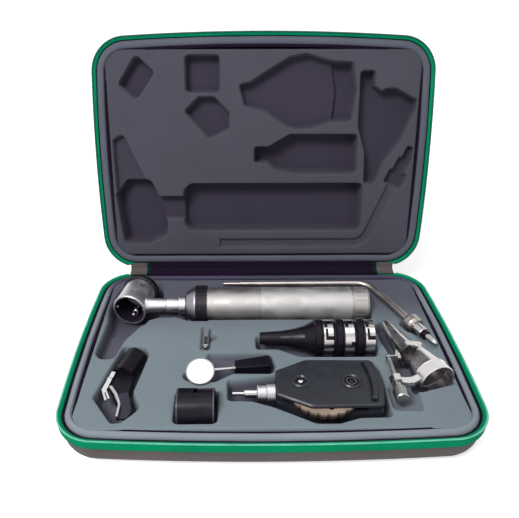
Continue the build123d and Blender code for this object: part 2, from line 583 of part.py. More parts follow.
# ---------------------------------------------------------------- bent-arm illuminator
TUBE_R = (2.1, 2.6, 3.1)
LEG_END = 59.0
with BuildPart() as arm_tube:
    lathe(ARM_STRAIGHT, (-20.8, 0), (-20.8, TUBE_R[0]), (ARM_CORNER_X - ARM_TANGENT, TUBE_R[1]),
          (ARM_CORNER_X - ARM_TANGENT, 0))
    with BuildLine(Plane(origin=(0, 0, FACE_Z + ARM_HEIGHT))) as bend:
        CenterArc((ARM_CORNER_X - ARM_TANGENT, ARM_Y - ARM_BEND), ARM_BEND, 90, ARM_TURN)
    with BuildSketch(Plane(origin=bend.line @ 0, z_dir=bend.line % 0)) as bend_section:
        Circle(TUBE_R[1])
    sweep(bend_section.sketch, path=bend.line)
    lathe(ARM_LEG, (ARM_TANGENT, 0), (ARM_TANGENT, TUBE_R[1]), (LEG_END, TUBE_R[2]), (LEG_END, 0))
keep(arm_tube, "arm_tube")

with BuildPart() as arm_tip:
    lathe(ARM_STRAIGHT, (-35.9, 0), (-35.9, 1.0), (-35.2, 1.35), (-20.85, 1.5), (-20.85, 0))
keep(arm_tip, "arm_tip")

with BuildPart() as arm_collar:
    lathe(ARM_LEG, (LEG_END + 0.05, 0), (LEG_END + 0.05, 4.6), (61.0, 6.6), (62.2, 7.2), (67.4, 7.2),
          (68.4, 6.6), (70.4, 6.2), (70.4, 0))
keep(arm_collar, "arm_collar")

with BuildPart() as arm_plug:
    lathe(ARM_LEG, (70.45, 0), (70.45, 4.5), (78.6, 4.5), (79.4, 4.0), (79.4, 0))
keep(arm_plug, "arm_plug")

with BuildPart() as arm_insulator:
    bar(ARM_LEG, 79.45, 82.6, 3.7)
keep(arm_insulator, "arm_insulator")

with BuildPart() as arm_contact:
    lathe(ARM_LEG, (82.65, 0), (82.65, 2.3), (91.0, 2.3), (93.6, 1.5), (94.4, 0))
keep(arm_contact, "arm_contact")

# ---------------------------------------------------------------- nested ear specula
FUNNEL_WALL = 0.9
for size, pitch, tip in zip(("wide", "medium", "narrow"), SPECULUM_PITCH, SPECULUM_TIP):
    outer = [(-42, tip), (-26, tip + 1.0), (-16, tip + 2.6), (-8, 9.4), (-0.6, 13.4), (0.4, FLANGE_R),
             (4.2, FLANGE_R), (4.8, 13.1), (9.0, 13.1)]
    inner = [(9.0, 12.7), (0, 12.7), (-8, 9.4 - FUNNEL_WALL), (-16, tip + 2.6 - FUNNEL_WALL),
             (-42, tip - FUNNEL_WALL)]
    with BuildPart() as speculum:
        lathe(SPECULA, *[(s + pitch, r) for s, r in outer + inner])
    keep(speculum, f"speculum_{size}")

with BuildPart() as specula_rings:
    for pitch in SPECULUM_PITCH:
        tube(SPECULA, pitch + 4.9, pitch + 13.4, 14.1, 13.15)
        slot_plane = Plane(SPECULA.from_local_coords((pitch, 0, 0)), x_dir=SPECULA.x_dir, z_dir=(0, 0, 1))
        with BuildSketch(slot_plane) as bayonet:
            with Locations((10.6, 1.2)):
                Rectangle(8.0, 2.4)
            with Locations((8.0, -1.2)):
                Rectangle(2.4, 6.0)
        extrude(bayonet.sketch, amount=20, mode=Mode.SUBTRACT)
keep(specula_rings, "specula_rings")

# ---------------------------------------------------------------- ophthalmoscope
SCOPE_OUTLINE = [(3.5, -12.0, 1.5), (26, -23.4, 9), (74.5, -22.6, 4), (78.0, 0, 60), (74.5, 22.6, 4),
                 (26, 23.4, 9), (3.5, 12.0, 1.5)]
with BuildPart() as scope_back:
    slab(SCOPE, SCOPE_OUTLINE, SCOPE_LOW, WHEEL_LOW - 0.4)
    fillet(scope_back.edges().group_by(Axis.Z)[0], 3.0)
    for x_low, x_high, half in ((4.0, 8.6, 11.0), (64.6, 73.6, 20.5)):
        with BuildSketch(SCOPE.offset(WHEEL_LOW - 0.6)) as post:
            with Locations(((x_low + x_high) / 2, 0)):
                RectangleRounded(x_high - x_low, 2 * half, 1.0)
        extrude(post.sketch, amount=SCOPE_FACE_LOW - WHEEL_LOW + 0.55)
    with BuildSketch(SCOPE.offset(WHEEL_LOW - 0.6)) as axle:
        with Locations((WHEEL_X, WHEEL_SIDE)):
            Circle(2.5)
    extrude(axle.sketch, amount=SCOPE_FACE_LOW - WHEEL_LOW + 0.55)
keep(scope_back, "scope_back")

LENS_CIRCLE = hypot(SIGHT_X - WHEEL_X, WHEEL_SIDE)
LENS_TURN = degrees(atan2(-WHEEL_SIDE, SIGHT_X - WHEEL_X))
with BuildPart() as lens_wheel:
    with BuildSketch(SCOPE.offset(WHEEL_LOW)) as disc:
        with Locations((WHEEL_X, WHEEL_SIDE)):
            Circle(WHEEL_R)
            with PolarLocations(WHEEL_R, 24):
                Rectangle(1.8, 2.2, mode=Mode.SUBTRACT)
            with PolarLocations(LENS_CIRCLE, 8, start_angle=LENS_TURN):
                RegularPolygon(2.3, 8, mode=Mode.SUBTRACT)
            Circle(2.56, mode=Mode.SUBTRACT)
    extrude(disc.sketch, amount=WHEEL_TOP - WHEEL_LOW)
keep(lens_wheel, "lens_wheel")

with BuildPart() as scope_face:
    slab(SCOPE, SCOPE_OUTLINE, SCOPE_FACE_LOW, SCOPE_FACE_TOP)
    chamfer(scope_face.edges().group_by(Axis.Z)[-1], 0.9)
    with BuildSketch(SCOPE.offset(SCOPE_FACE_LOW - 1)) as windows:
        with Locations((LIGHT_X, 0)):
            Circle(4.0)
        with Locations((SIGHT_X, 0)):
            Circle(4.6)
    extrude(windows.sketch, amount=6, mode=Mode.SUBTRACT)
    with BuildSketch(SCOPE.offset(SCOPE_FACE_TOP - 1.2)) as crescent:
        with BuildLine() as crescent_path:
            ThreePointArc((67.6, -19.6), (70.2, 0), (67.6, 19.6))
        trace(crescent_path.line, line_width=5.4)
    extrude(crescent.sketch, amount=3, mode=Mode.SUBTRACT)
keep(scope_face, "scope_face")

with BuildPart() as brow_rest:
    with BuildSketch(SCOPE.offset(SCOPE_FACE_TOP - 1.15)) as ridge:
        with BuildLine() as ridge_path:
            ThreePointArc((68.2, -18.6), (70.6, 0), (68.2, 18.6))
        trace(ridge_path.line, line_width=3.4)
    extrude(ridge.sketch, amount=3.9)
    fillet(brow_rest.edges().group_by(Axis.Z)[-1], 0.8)
keep(brow_rest, "brow_rest")

with BuildPart() as window_rings:
    for centre, outer, inner in ((LIGHT_X, 6.3, 4.2), (SIGHT_X, 7.3, 4.8)):
        ring_plane = Plane(origin=(centre, SCOPE_Y, FACE_Z + SCOPE_FACE_TOP + 0.03), x_dir=(0, 0, 1),
                           z_dir=(1, 0, 0))
        lathe(ring_plane, (0, inner), (0, outer), (0.5, outer), (1.3, outer - 0.9), (1.3, inner + 0.9),
              (0.4, inner))
keep(window_rings, "window_rings")

with BuildPart() as window_lenses:
    for centre, radius in ((LIGHT_X, 3.95), (SIGHT_X, 4.55)):
        with BuildSketch(SCOPE.offset(SCOPE_FACE_TOP - 1.6)) as glass:
            with Locations((centre, 0)):
                Circle(radius)
        extrude(glass.sketch, amount=1.5)
keep(window_lenses, "window_lenses")

with BuildPart() as scope_collar:
    lathe(SCOPE_NECK, (-9.8, 1.7), (-9.8, 6.7), (-9.2, 7.3), (-7.4, 7.3), (-7.4, 6.9), (-6.8, 6.9),
          (-6.8, 7.3), (-3.3, 7.3), (-3.3, 7.8), (-2.8, 8.3), (2.9, 8.3), (3.45, 7.8), (3.45, 1.7))
keep(scope_collar, "scope_collar")

with BuildPart() as scope_contact:
    lathe(SCOPE_NECK, (-27.4, 0), (-27.4, 1.0), (-26.9, 1.5), (-18.6, 1.5), (-18.6, 3.0), (-18.2, 3.3),
          (-9.85, 3.3), (-9.85, 1.6), (3.0, 1.6), (3.0, 0))
keep(scope_contact, "scope_contact")

# ---------------------------------------------------------------- nasal speculum
RING_END = 9.3
CUP_END = 31.0
CUP_R = 8.7
BLADE_R = 9.8
BLADE_LENGTH = 42.4
SEAM = 0.25                  # half of the gap where the two blades meet
EYE_LOW = 10.0
EYE_TOP = 10.9

blade_origin = NASAL.from_local_coords((BLADE_START, BLADE_SIDE, 0))
BLADE = lying(blade_origin.X, blade_origin.Y, 2, NASAL_TURN + BLADE_LEAN)
BLADE_PROFILE = [(0, BLADE_R - 0.9), (0, BLADE_R), (9, 7.9), (15, 6.8), (30, 5.0), (35.5, 4.3), (40, 3.6),
                 (BLADE_LENGTH, 2.2), (BLADE_LENGTH, 1.3), (39.5, 2.7), (30, 4.1), (15, 5.9), (9, 7.0)]
PLAN = Plane(origin=(0, 0, 0))

with BuildPart() as nasal_body:
    lathe(NASAL, (0, 12.4), (0, NASAL_R), (RING_END - 0.3, NASAL_R), (RING_END, 12.6), (CUP_END, CUP_R),
          (CUP_END, CUP_R - 0.9), (RING_END, 11.7), (RING_END - 0.6, 12.4))
    lathe(NASAL, (CUP_END - 0.9, 3.0), (CUP_END - 0.9, CUP_R), (CUP_END, CUP_R), (CUP_END, 3.0))
    slab(NASAL, [(28.4, -0.9, 0), (60, -0.9, 0), (60, 22, 0), (12, 22, 0), (17.0, 12.8, 0)], -20, 20,
         Mode.SUBTRACT)
    lathe(BLADE, (-1.5, BLADE_R - 0.9), (-1.5, BLADE_R), *BLADE_PROFILE[1:])
    slab(BLADE, [(-4, -SEAM, 0), (50, -SEAM, 0), (50, 16, 0), (-4, 16, 0)], -20, 20, Mode.SUBTRACT)
    lathe(BLADE, (-4, 0), (-4, BLADE_R - 0.95), (0, BLADE_R - 0.95), (9, 6.95), (9, 0), mode=Mode.SUBTRACT)
    slab(PLAN, [(91.0, -53.8, 0.5), (95.5, -54.8, 2), (100.5, -54.4, 2), (106.3, -50.4, 0), (104.9, -45.8, 0),
                (99.6, -48.6, 2), (95.5, -49.2, 2), (91.0, -48.4, 0.5)], FACE_Z + 3.6, FACE_Z + 6.4)
    with BuildSketch(Plane(SCREW.from_local_coords((-3.0, 0, 0)), x_dir=SCREW.y_dir, z_dir=SCREW.x_dir)) as nut:
        RegularPolygon(4.6, 6)
        Circle(1.9, mode=Mode.SUBTRACT)
    extrude(nut.sketch, amount=6.0)
    lathe(SCREW, (-6, 0), (-6, 1.9), (6, 1.9), (6, 0), mode=Mode.SUBTRACT)
    for level in (7.9, -11.3):
        with BuildSketch(NASAL.offset(level)) as pivot_post:
            with Locations(NASAL_PIVOT):
                Circle(1.1)
        extrude(pivot_post.sketch, amount=3.4)
keep(nasal_body, "nasal_body")

with BuildPart() as nasal_blade:
    lathe(BLADE, (0.3, BLADE_R - 0.9), (0.3, BLADE_R), *BLADE_PROFILE[2:])
    slab(BLADE, [(-8, SEAM, 0), (50, SEAM, 0), (50, -16, 0), (-8, -16, 0)], -20, 20, Mode.SUBTRACT)
    for low, high, foot in ((EYE_LOW, EYE_TOP, 8.9), (-EYE_TOP, -EYE_LOW, -8.9)):
        slab(NASAL, [(31.6, 4.9, 0), (35.2, 4.9, 0), (35.2, 7.2, 0), (31.6, 7.2, 0)], min(low, foot),
             max(high, foot))
        slab(NASAL, [(27.6, -3.8, 1.5), (31.4, -4.2, 1.5), (35.2, 3.4, 0.5), (35.2, 7.2, 0.5), (31.6, 7.2, 0.5),
                     (28.0, 0.2, 1)], low, high)
    with BuildSketch(NASAL.offset(-20)) as pivot_bore:
        with Locations(NASAL_PIVOT):
            Circle(1.35)
    extrude(pivot_bore.sketch, amount=40, mode=Mode.SUBTRACT)
    slab(PLAN, [(93.5, -27.7, 0), (97.4, -27.7, 0), (97.4, -18.6, 0), (95.6, -18.6, 0), (93.5, -24.5, 0)],
         FACE_Z + 4.0, FACE_Z + 6.0)
    slab(PLAN, [(90.2, -27.7, 0), (94.6, -27.7, 0), (94.6, -26.7, 0), (90.2, -26.7, 0)], FACE_Z + 2.2, FACE_Z + 7.8)
    for low in (2.2, 6.3):
        slab(PLAN, [(86.2, -27.7, 0), (91.0, -27.7, 0), (91.0, -26.7, 0), (86.2, -26.7, 0)], FACE_Z + low,
             FACE_Z + low + 1.5)
keep(nasal_blade, "nasal_blade")

SCREW_HEAD = 26.2
with BuildPart() as nasal_screw:
    lathe(SCREW, (-8.2, 0), (-8.2, 2.6), (-4.4, 2.6), (-4.0, 1.62), (22.5, 1.62), (22.5, 1.0), (24.7, 1.0),
          (24.7, 2.0), (SCREW_HEAD, 2.0), (SCREW_HEAD, 0))
keep(nasal_screw, "nasal_screw")

with BuildPart() as nasal_knob:
    lathe(SCREW, (-18.8, 0), (-18.8, 4.3), (-18.0, 5.0), (-9.8, 5.0), (-8.3, 3.6), (-8.3, 0))
    flutes(SCREW, -17.4, -10.4, 5.0, 0.35, 0.7, 14)
keep(nasal_knob, "nasal_knob")

# ---------------------------------------------------------------- throat mirror
MIRROR_NORMAL = (0, -sin(radians(MIRROR_TILT)), cos(radians(MIRROR_TILT)))
MIRROR = Plane(origin=(MIRROR_X, MIRROR_Y, FACE_Z + MIRROR_HEIGHT), x_dir=MIRROR_NORMAL,
               z_dir=(0, cos(radians(MIRROR_TILT)), sin(radians(MIRROR_TILT))))
STEM_START = Vector(MIRROR_X + MIRROR_R - 0.9, MIRROR_Y + 2.4, FACE_Z + 4.6)
STEM_END = Vector(-22.5, -30.2, FACE_Z - 0.6)
with BuildPart() as mirror_frame:
    lathe(MIRROR, (-1.2, 0), (-1.2, MIRROR_R - 0.6), (-0.6, MIRROR_R), (0.5, MIRROR_R), (0.5, MIRROR_R - 0.8),
          (-0.2, MIRROR_R - 0.8), (-0.2, 0))
    stem_axis = STEM_END - STEM_START
    with BuildSketch(Plane(origin=STEM_START, z_dir=stem_axis)) as stem:
        Circle(0.95)
    extrude(stem.sketch, amount=stem_axis.length)
keep(mirror_frame, "mirror_frame")

with BuildPart() as mirror_glass:
    bar(MIRROR, -0.15, 0.4, MIRROR_R - 0.9)
keep(mirror_glass, "mirror_glass")

SLEEVE_PLANE = Plane(origin=(0, 0, FACE_Z))
with BuildPart() as mirror_sleeve:
    slab(SLEEVE_PLANE, [(-25.5, -32.6, 0.8), (1.8, -30.2, 2.0), (0.9, -18.0, 2.0), (-25.5, -24.2, 0.8)], -7.4, 1.6)
    fillet(mirror_sleeve.edges().group_by(Axis.Z)[-1], 0.7)
    with BuildSketch(Plane(origin=STEM_START, z_dir=stem_axis)) as stem_bore:
        Circle(1.0)
    extrude(stem_bore.sketch, amount=stem_axis.length + 0.1, mode=Mode.SUBTRACT)
keep(mirror_sleeve, "mirror_sleeve")

# ---------------------------------------------------------------- head adaptor barrel
with BuildPart() as adaptor_barrel:
    lathe(BARREL, (-12.9, 11.8), (-12.9, BARREL_R - 0.5), (-12.4, BARREL_R), (12.4, BARREL_R),
          (12.9, BARREL_R - 0.5), (12.9, 11.8))
    slot_face = Plane(BARREL.from_local_coords((-6.4, 6.0, 0)), x_dir=BARREL.x_dir, z_dir=(0, 0, 1))
    with BuildSketch(slot_face) as bayonet_slot:
        Rectangle(15.0, 2.6)
        with Locations((6.2, -2.2)):
            Rectangle(2.6, 6.0)
    extrude(bayonet_slot.sketch, amount=20, mode=Mode.SUBTRACT)
keep(adaptor_barrel, "adaptor_barrel")

# ---------------------------------------------------------------- tongue-blade holder
HOLDER_LENGTH = 24.0
CLAMP_PIVOT = (-115.6, -39.8)
CLAMP_Z = -2.6
with BuildPart() as holder_barrel:
    lathe(HOLDER, (0, 0), (0, HOLDER_R - 0.8), (0.8, HOLDER_R), (HOLDER_LENGTH, HOLDER_R), (HOLDER_LENGTH, 0))
    slab(FOAM_FACE, [(-116.4, -33.6, 1), (-116.2, -42.4, 1), (-112.0, -50.5, 1), (-109.0, -58.0, 2),
                     (-100.5, -58.5, 2), (-99.6, -31.0, 1), (-112, -29.8, 0)], -12.4, -4.4)
keep(holder_barrel, "holder_barrel")

with BuildPart() as holder_blade:
    slab(FOAM_FACE, [(-110.5, -55.5, 1), (-105.6, -64.0, 8), (-104.6, -78.0, 1), (-98.0, -77.2, 2),
                     (-95.8, -71.0, 4), (-98.2, -59.0, 1), (-101.0, -52.0, 1)], -4.35, -3.2)
    slab(FOAM_FACE, [(-114.3, -49.5, 0.4), (-109.0, -57.5, 6), (-104.8, -66.5, 9), (-104.6, -78.2, 0.4),
                     (-103.2, -78.0, 0.4), (-103.3, -66.0, 9), (-107.4, -56.2, 6), (-112.6, -48.4, 0.4)], -4.35, -0.2)
keep(holder_blade, "holder_blade")

with BuildPart() as holder_clamp:
    slab(FOAM_FACE, [(-115.6, -32.0, 0.4), (-119.4, -51.1, 0.8), (-115.2, -61.6, 0.4), (-113.9, -61.1, 0.4),
                     (-116.9, -53.7, 0), (-116.2, -53.4, 0), (-113.3, -60.2, 0.4), (-112.1, -59.6, 0.4),
                     (-115.9, -51.2, 0.8), (-112.6, -32.6, 0.4)], CLAMP_Z - 0.7, CLAMP_Z + 0.7)
    with BuildSketch(Plane(origin=(*CLAMP_PIVOT, FACE_Z + CLAMP_Z), x_dir=HOLDER.x_dir,
                           z_dir=HOLDER.y_dir)) as knuckle:
        Circle(1.5)
    extrude(knuckle.sketch, amount=1.6, both=True)
keep(holder_clamp, "holder_clamp")

# ---------------------------------------------------------------- spare bulb
with BuildPart() as bulb_base:
    lathe(BULB, (-12.4, 0), (-12.4, 1.0), (-11.2, 1.2), (-11.2, 2.2), (-10.4, BULB_R), (-1.0, BULB_R),
          (-1.0, 2.0), (0, 2.0), (0, 0))
keep(bulb_base, "bulb_base")

with BuildPart() as bulb_glass:
    with BuildSketch(BULB) as bulb_half:
        with BuildLine():
            Line((0.05, 0), (0.05, 1.9))
            Line((0.05, 1.9), (10.2, 2.1))
            RadiusArc((10.2, 2.1), (12.3, 0), 2.1)
            Line((12.3, 0), (0.05, 0))
        make_face()
    revolve(bulb_half.sketch, axis=Axis(BULB.origin, BULB.x_dir))
keep(bulb_glass, "bulb_glass")
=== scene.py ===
import json
import logging
import math
from dataclasses import dataclass, replace
from enum import Enum

import bmesh
import bpy
import numpy as np
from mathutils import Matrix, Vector
from mathutils.bvhtree import BVHTree


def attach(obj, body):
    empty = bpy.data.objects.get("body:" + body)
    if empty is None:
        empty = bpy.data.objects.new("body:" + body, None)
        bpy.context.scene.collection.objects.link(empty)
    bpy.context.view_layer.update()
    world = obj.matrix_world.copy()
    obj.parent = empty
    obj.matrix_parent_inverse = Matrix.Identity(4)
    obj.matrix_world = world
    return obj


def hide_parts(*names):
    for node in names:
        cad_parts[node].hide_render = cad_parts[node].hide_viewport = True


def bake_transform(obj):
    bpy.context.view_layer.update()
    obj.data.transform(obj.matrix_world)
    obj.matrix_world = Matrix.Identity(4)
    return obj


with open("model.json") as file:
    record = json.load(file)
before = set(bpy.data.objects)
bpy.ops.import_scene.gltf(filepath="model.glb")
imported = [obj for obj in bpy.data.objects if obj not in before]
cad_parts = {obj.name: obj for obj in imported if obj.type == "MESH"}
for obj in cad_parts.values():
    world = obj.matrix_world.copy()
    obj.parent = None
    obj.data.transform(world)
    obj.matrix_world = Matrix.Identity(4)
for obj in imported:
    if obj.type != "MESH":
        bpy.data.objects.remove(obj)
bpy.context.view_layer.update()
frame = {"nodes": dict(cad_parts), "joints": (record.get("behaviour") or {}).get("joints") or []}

LOG = logging.getLogger("carry_case")
MM = 0.001
NOISE_LOW, NOISE_HIGH = 0.3, 0.7

Colour = tuple[float, float, float]
Profile = list[tuple[float, float]]
Faces = list[tuple[int, ...]]
Piece = bpy.types.Object
Socket = bpy.types.NodeSocket


# ------------------------------------------------------------------ shader nodes
def add_node(
    tree: bpy.types.NodeTree, kind: str, inputs: dict[str | int, object], **settings: object
) -> bpy.types.Node:
    """Add a shader node.

    Args:
        tree: The node tree.
        kind: The node type without its ShaderNode prefix.
        inputs: Socket names or numbers, each with its value or with the socket that feeds it.
        **settings: Attributes to set on the node.

    Returns:
        The new node.
    """
    made = tree.nodes.new("ShaderNode" + kind)
    for key, value in settings.items():
        setattr(made, key, value)
    for key, value in inputs.items():
        if isinstance(value, Socket):
            tree.links.new(value, made.inputs[key])
        else:
            made.inputs[key].default_value = value
    return made


def seen_straight(tree: bpy.types.NodeTree) -> Socket:
    """A factor that is 1 for rays that see a surface straight, in metal or through glass.

    Args:
        tree: The node tree that it is added to.

    Returns:
        The factor socket.
    """
    rays = add_node(tree, "LightPath", {}).outputs
    first = add_node(tree, "Math", {0: rays["Is Camera Ray"], 1: rays["Is Glossy Ray"]}, operation="MAXIMUM")
    inputs = {0: first.outputs[0], 1: rays["Is Transmission Ray"]}
    return add_node(tree, "Math", inputs, operation="MAXIMUM").outputs[0]


@dataclass(frozen=True)
class PaintedShade:
    """A painted shade: a tone that a finish takes on toward one side, reached between two distances along a direction,
    in metres.
    """

    direction: Colour
    start: float
    end: float
    tone: Colour


class ShaderDraft:
    """One material's node tree, drafted piece by piece round a Principled shader."""

    def __init__(self, name: str, **values: float | Colour) -> None:
        """Start a material.

        Args:
            name: The material's name.
            **values: The shader's sockets, with underscores for spaces, and their plain values.
        """
        self.material = bpy.data.materials.new(name)
        self.material.use_nodes = True
        self.tree = self.material.node_tree
        self.shader = self.tree.nodes["Principled BSDF"]
        self.place = self.node("TexCoord", {}).outputs["Object"]
        for key, value in values.items():
            socket = self.shader.inputs[key.replace("_", " ")]
            socket.default_value = (*value, 1.0) if isinstance(value, tuple) else value

    def node(self, kind: str, inputs: dict[str | int, object], **settings: object) -> bpy.types.Node:
        """Add a node to this material."""
        return add_node(self.tree, kind, inputs, **settings)

    def feed(self, source: Socket, socket: str) -> None:
        """Link a socket to one of the shader's own."""
        self.tree.links.new(source, self.shader.inputs[socket])

    def noise(self, size: float, detail: float = 3.0) -> Socket:
        """Noise with blotches about a size in metres across, and octaves of finer detail."""
        return self.node("TexNoise", {"Scale": 1.0 / size, "Detail": detail, "Vector": self.place}).outputs["Fac"]

    def bands(self, period: float, direction: str, turn: Colour = (0.0, 0.0, 0.0)) -> Socket:
        """Add even bands.

        Args:
            period: Distance from one band to the next in metres.
            direction: Axis that the bands repeat along.
            turn: Turn of the coordinates in radians.

        Returns:
            The factor socket.
        """
        mapping = self.node("Mapping", {"Rotation": turn, "Vector": self.place})
        inputs = {"Scale": 2 * math.pi / (20 * period), "Vector": mapping.outputs["Vector"]}
        made = self.node("TexWave", inputs, wave_type="BANDS", bands_direction=direction, wave_profile="SIN")
        return made.outputs["Fac"]

    def sum(self, first: Socket, second: Socket, share: float = 1.0) -> Socket:
        """The first factor plus a share of the second."""
        return self.node("Math", {0: second, 1: share, 2: first}, operation="MULTIPLY_ADD").outputs[0]

    def mottled(
        self, factor: Socket, colour: Colour, low: float, high: float, start: float = NOISE_LOW, end: float = NOISE_HIGH
    ) -> Socket:
        """Blend between a darker and a lighter tint of one colour.

        Args:
            factor: The factor socket.
            colour: The colour.
            low: What it is multiplied by at the start.
            high: What it is multiplied by at the end.
            start: Factor at which the blend starts.
            end: Factor at which it ends.

        Returns:
            The colour socket.
        """
        ramp = self.node("ValToRGB", {"Fac": factor})
        for element, position, tint in zip(ramp.color_ramp.elements, (start, end), (low, high)):
            element.position = position
            element.color = (*(min(1.0, c * tint) for c in colour), 1.0)
        return ramp.outputs["Color"]

    def roughen(self, factor: Socket, low: float, high: float) -> None:
        """Vary the roughness between two values by a factor."""
        inputs = {"Value": factor, "From Min": NOISE_LOW, "From Max": NOISE_HIGH, "To Min": low, "To Max": high}
        self.feed(self.node("MapRange", inputs).outputs["Result"], "Roughness")

    def bump(self, height: Socket, depth: float, strength: float) -> None:
        """Let a share of a relief show, from its height and its depth in metres."""
        made = self.node("Bump", {"Strength": strength, "Distance": depth, "Height": height})
        self.feed(made.outputs["Normal"], "Normal")

    def along(self, direction: Colour, start: float, end: float) -> Socket:
        """Measure how far along a direction the surface lies.

        Args:
            direction: Unit direction in the object's own coordinates.
            start: Distance in metres at which the factor is 0.
            end: Distance at which it is 1.

        Returns:
            The factor socket.
        """
        dot = self.node("VectorMath", {0: self.place, 1: direction}, operation="DOT_PRODUCT")
        inputs = {"From Min": start, "From Max": end, "Value": dot.outputs["Value"]}
        return self.node("MapRange", inputs, interpolation_type="SMOOTHSTEP").outputs["Result"]

    def mix(self, factor: Socket, first: Socket, second: Socket | tuple[float, ...], **settings: str) -> Socket:
        """Mix two colours by a factor, as the settings say."""
        return self.node("Mix", {0: factor, 6: first, 7: second}, data_type="RGBA", **settings).outputs[2]

    def colour(self, source: Socket, shade: PaintedShade | None = None) -> None:
        """Drive the base colour.

        Args:
            source: The colour socket.
            shade: A painted shade that it is multiplied by toward one side.
        """
        if shade:
            depth = self.along(shade.direction, shade.start, shade.end)
            source = self.mix(depth, source, (*shade.tone, 1.0), blend_type="MULTIPLY")
        self.feed(source, "Base Color")


# ------------------------------------------------------------------ finishes
class Weave(Enum):
    """How a fabric's surface is made."""

    KNIT = "brushed knit bonded to foam"
    TWILL = "moulded twill"
    TAPE = "zip tape with lengthwise ribs"


class Surface(Enum):
    """How a metal surface is worked."""

    POLISHED = "polished"
    TURNED = "turned, with fine rings"
    SATIN = "bead blasted"


@dataclass(frozen=True)
class Finish:
    """What any finish has: a name for its material and a colour."""

    name: str
    colour: Colour

    def material(self) -> bpy.types.Material:
        """Build the material."""
        raise NotImplementedError


@dataclass(frozen=True)
class Fabric(Finish):
    """A cloth finish: thread size, how much its tone wanders, and the painted shade that it takes in hollows.

    The painted hollow shade is reached a sunk distance below the face, which lies at the mouth's distance along its
    direction.
    """

    weave: Weave
    thread: float = 0.0006
    depth: float = 0.00007
    wander: float = 0.08
    sheen: float = 0.0
    gloss: float = 0.15
    hollow_shade: Colour | None = None
    mouth: tuple[Colour, float] = ((0.0, 0.0, 1.0), 0.0)
    sunk: float = 0.009
    shade: PaintedShade | None = None

    def relief(self, draft: ShaderDraft, fuzz: Socket) -> Socket:
        """The weave's height.

        Args:
            draft: The material's draft.
            fuzz: Noise as fine as the thread.

        Returns:
            The height socket.
        """
        if self.weave is Weave.KNIT:
            return draft.sum(fuzz, draft.noise(self.thread * 4, 2.0), 0.6)
        if self.weave is Weave.TWILL:
            warp = draft.bands(self.thread, "X", (0.0, 0.0, math.radians(40)))
            weft = draft.bands(self.thread, "Z", (math.radians(38), 0.0, 0.0))
            return draft.sum(draft.sum(warp, weft), fuzz, 0.5)
        return draft.sum(draft.bands(self.thread * 2.2, "Z", (math.radians(20), 0.0, 0.0)), fuzz, 0.6)

    def material(self) -> bpy.types.Material:
        """Build the material.

        Returns:
            The finished material.
        """
        draft = ShaderDraft(
            self.name, Roughness=0.86, Sheen_Weight=self.sheen, Sheen_Roughness=0.5, Specular_IOR_Level=self.gloss
        )
        fuzz = draft.noise(self.thread * 1.4, 2.0)
        tone = draft.sum(draft.noise(0.035, 4.0), fuzz, 0.25)
        tints = (1 - self.wander, 1 + self.wander, 0.35, 0.9)
        cloth = draft.mottled(tone, self.colour, *tints)
        # painted shade: the cloth turns to its hollow shade colour deeper below the face, standing in for the shade in
        # hollows and grooves
        if self.hollow_shade:
            direction, face = self.mouth
            depth = draft.along(direction, face - 0.0006, face - self.sunk)
            cloth = draft.mix(depth, cloth, draft.mottled(tone, self.hollow_shade, *tints))
        draft.colour(cloth, self.shade)
        draft.bump(self.relief(draft, fuzz), self.depth, 0.7)
        return draft.material


@dataclass(frozen=True)
class Metal(Finish):
    """A bare or plated metal finish."""

    roughness: float
    surface: Surface = Surface.POLISHED
    depth: float = 0.00002
    shade: PaintedShade | None = None

    def material(self) -> bpy.types.Material:
        """Build the material.

        Returns:
            The finished material.
        """
        draft = ShaderDraft(self.name, Metallic=1.0)
        smudge = draft.noise(0.012, 5.0)
        draft.colour(draft.mottled(smudge, self.colour, 0.94, 1.04), self.shade)
        draft.roughen(smudge, self.roughness * 0.8, self.roughness * 1.35)
        if self.surface is Surface.TURNED:
            draft.bump(draft.sum(draft.bands(0.0006, "X"), draft.noise(0.0004), 0.4), self.depth, 0.5)
        elif self.surface is Surface.SATIN:
            draft.bump(draft.noise(0.0003, 2.0), self.depth, 0.6)
        else:
            draft.bump(draft.noise(0.004, 2.0), self.depth * 0.3, 0.25)
        return draft.material


@dataclass(frozen=True)
class Plastic(Finish):
    """A moulded plastic finish."""

    roughness: float
    gloss: float = 0.5
    grain: float = 0.0004
    shade: PaintedShade | None = None

    def material(self) -> bpy.types.Material:
        """Build the material.

        Returns:
            The finished material.
        """
        draft = ShaderDraft(self.name, Specular_IOR_Level=self.gloss)
        wear = draft.noise(0.009, 5.0)
        draft.colour(draft.mottled(wear, self.colour, 0.85, 1.2), self.shade)
        draft.roughen(wear, self.roughness * 0.85, self.roughness * 1.3)
        draft.bump(draft.noise(self.grain, 2.0), 0.00002, 0.5)
        return draft.material


@dataclass(frozen=True)
class Glass(Finish):
    """A clear finish."""

    roughness: float = 0.02
    transmission: float = 0.9

    def material(self) -> bpy.types.Material:
        """Build the material.

        Returns:
            The finished material.
        """
        draft = ShaderDraft(self.name, IOR=1.47, Transmission_Weight=self.transmission)
        haze = draft.noise(0.006, 3.0)
        draft.colour(draft.mottled(haze, self.colour, 0.97, 1.0))
        draft.roughen(haze, self.roughness, self.roughness * 2.5)
        return draft.material
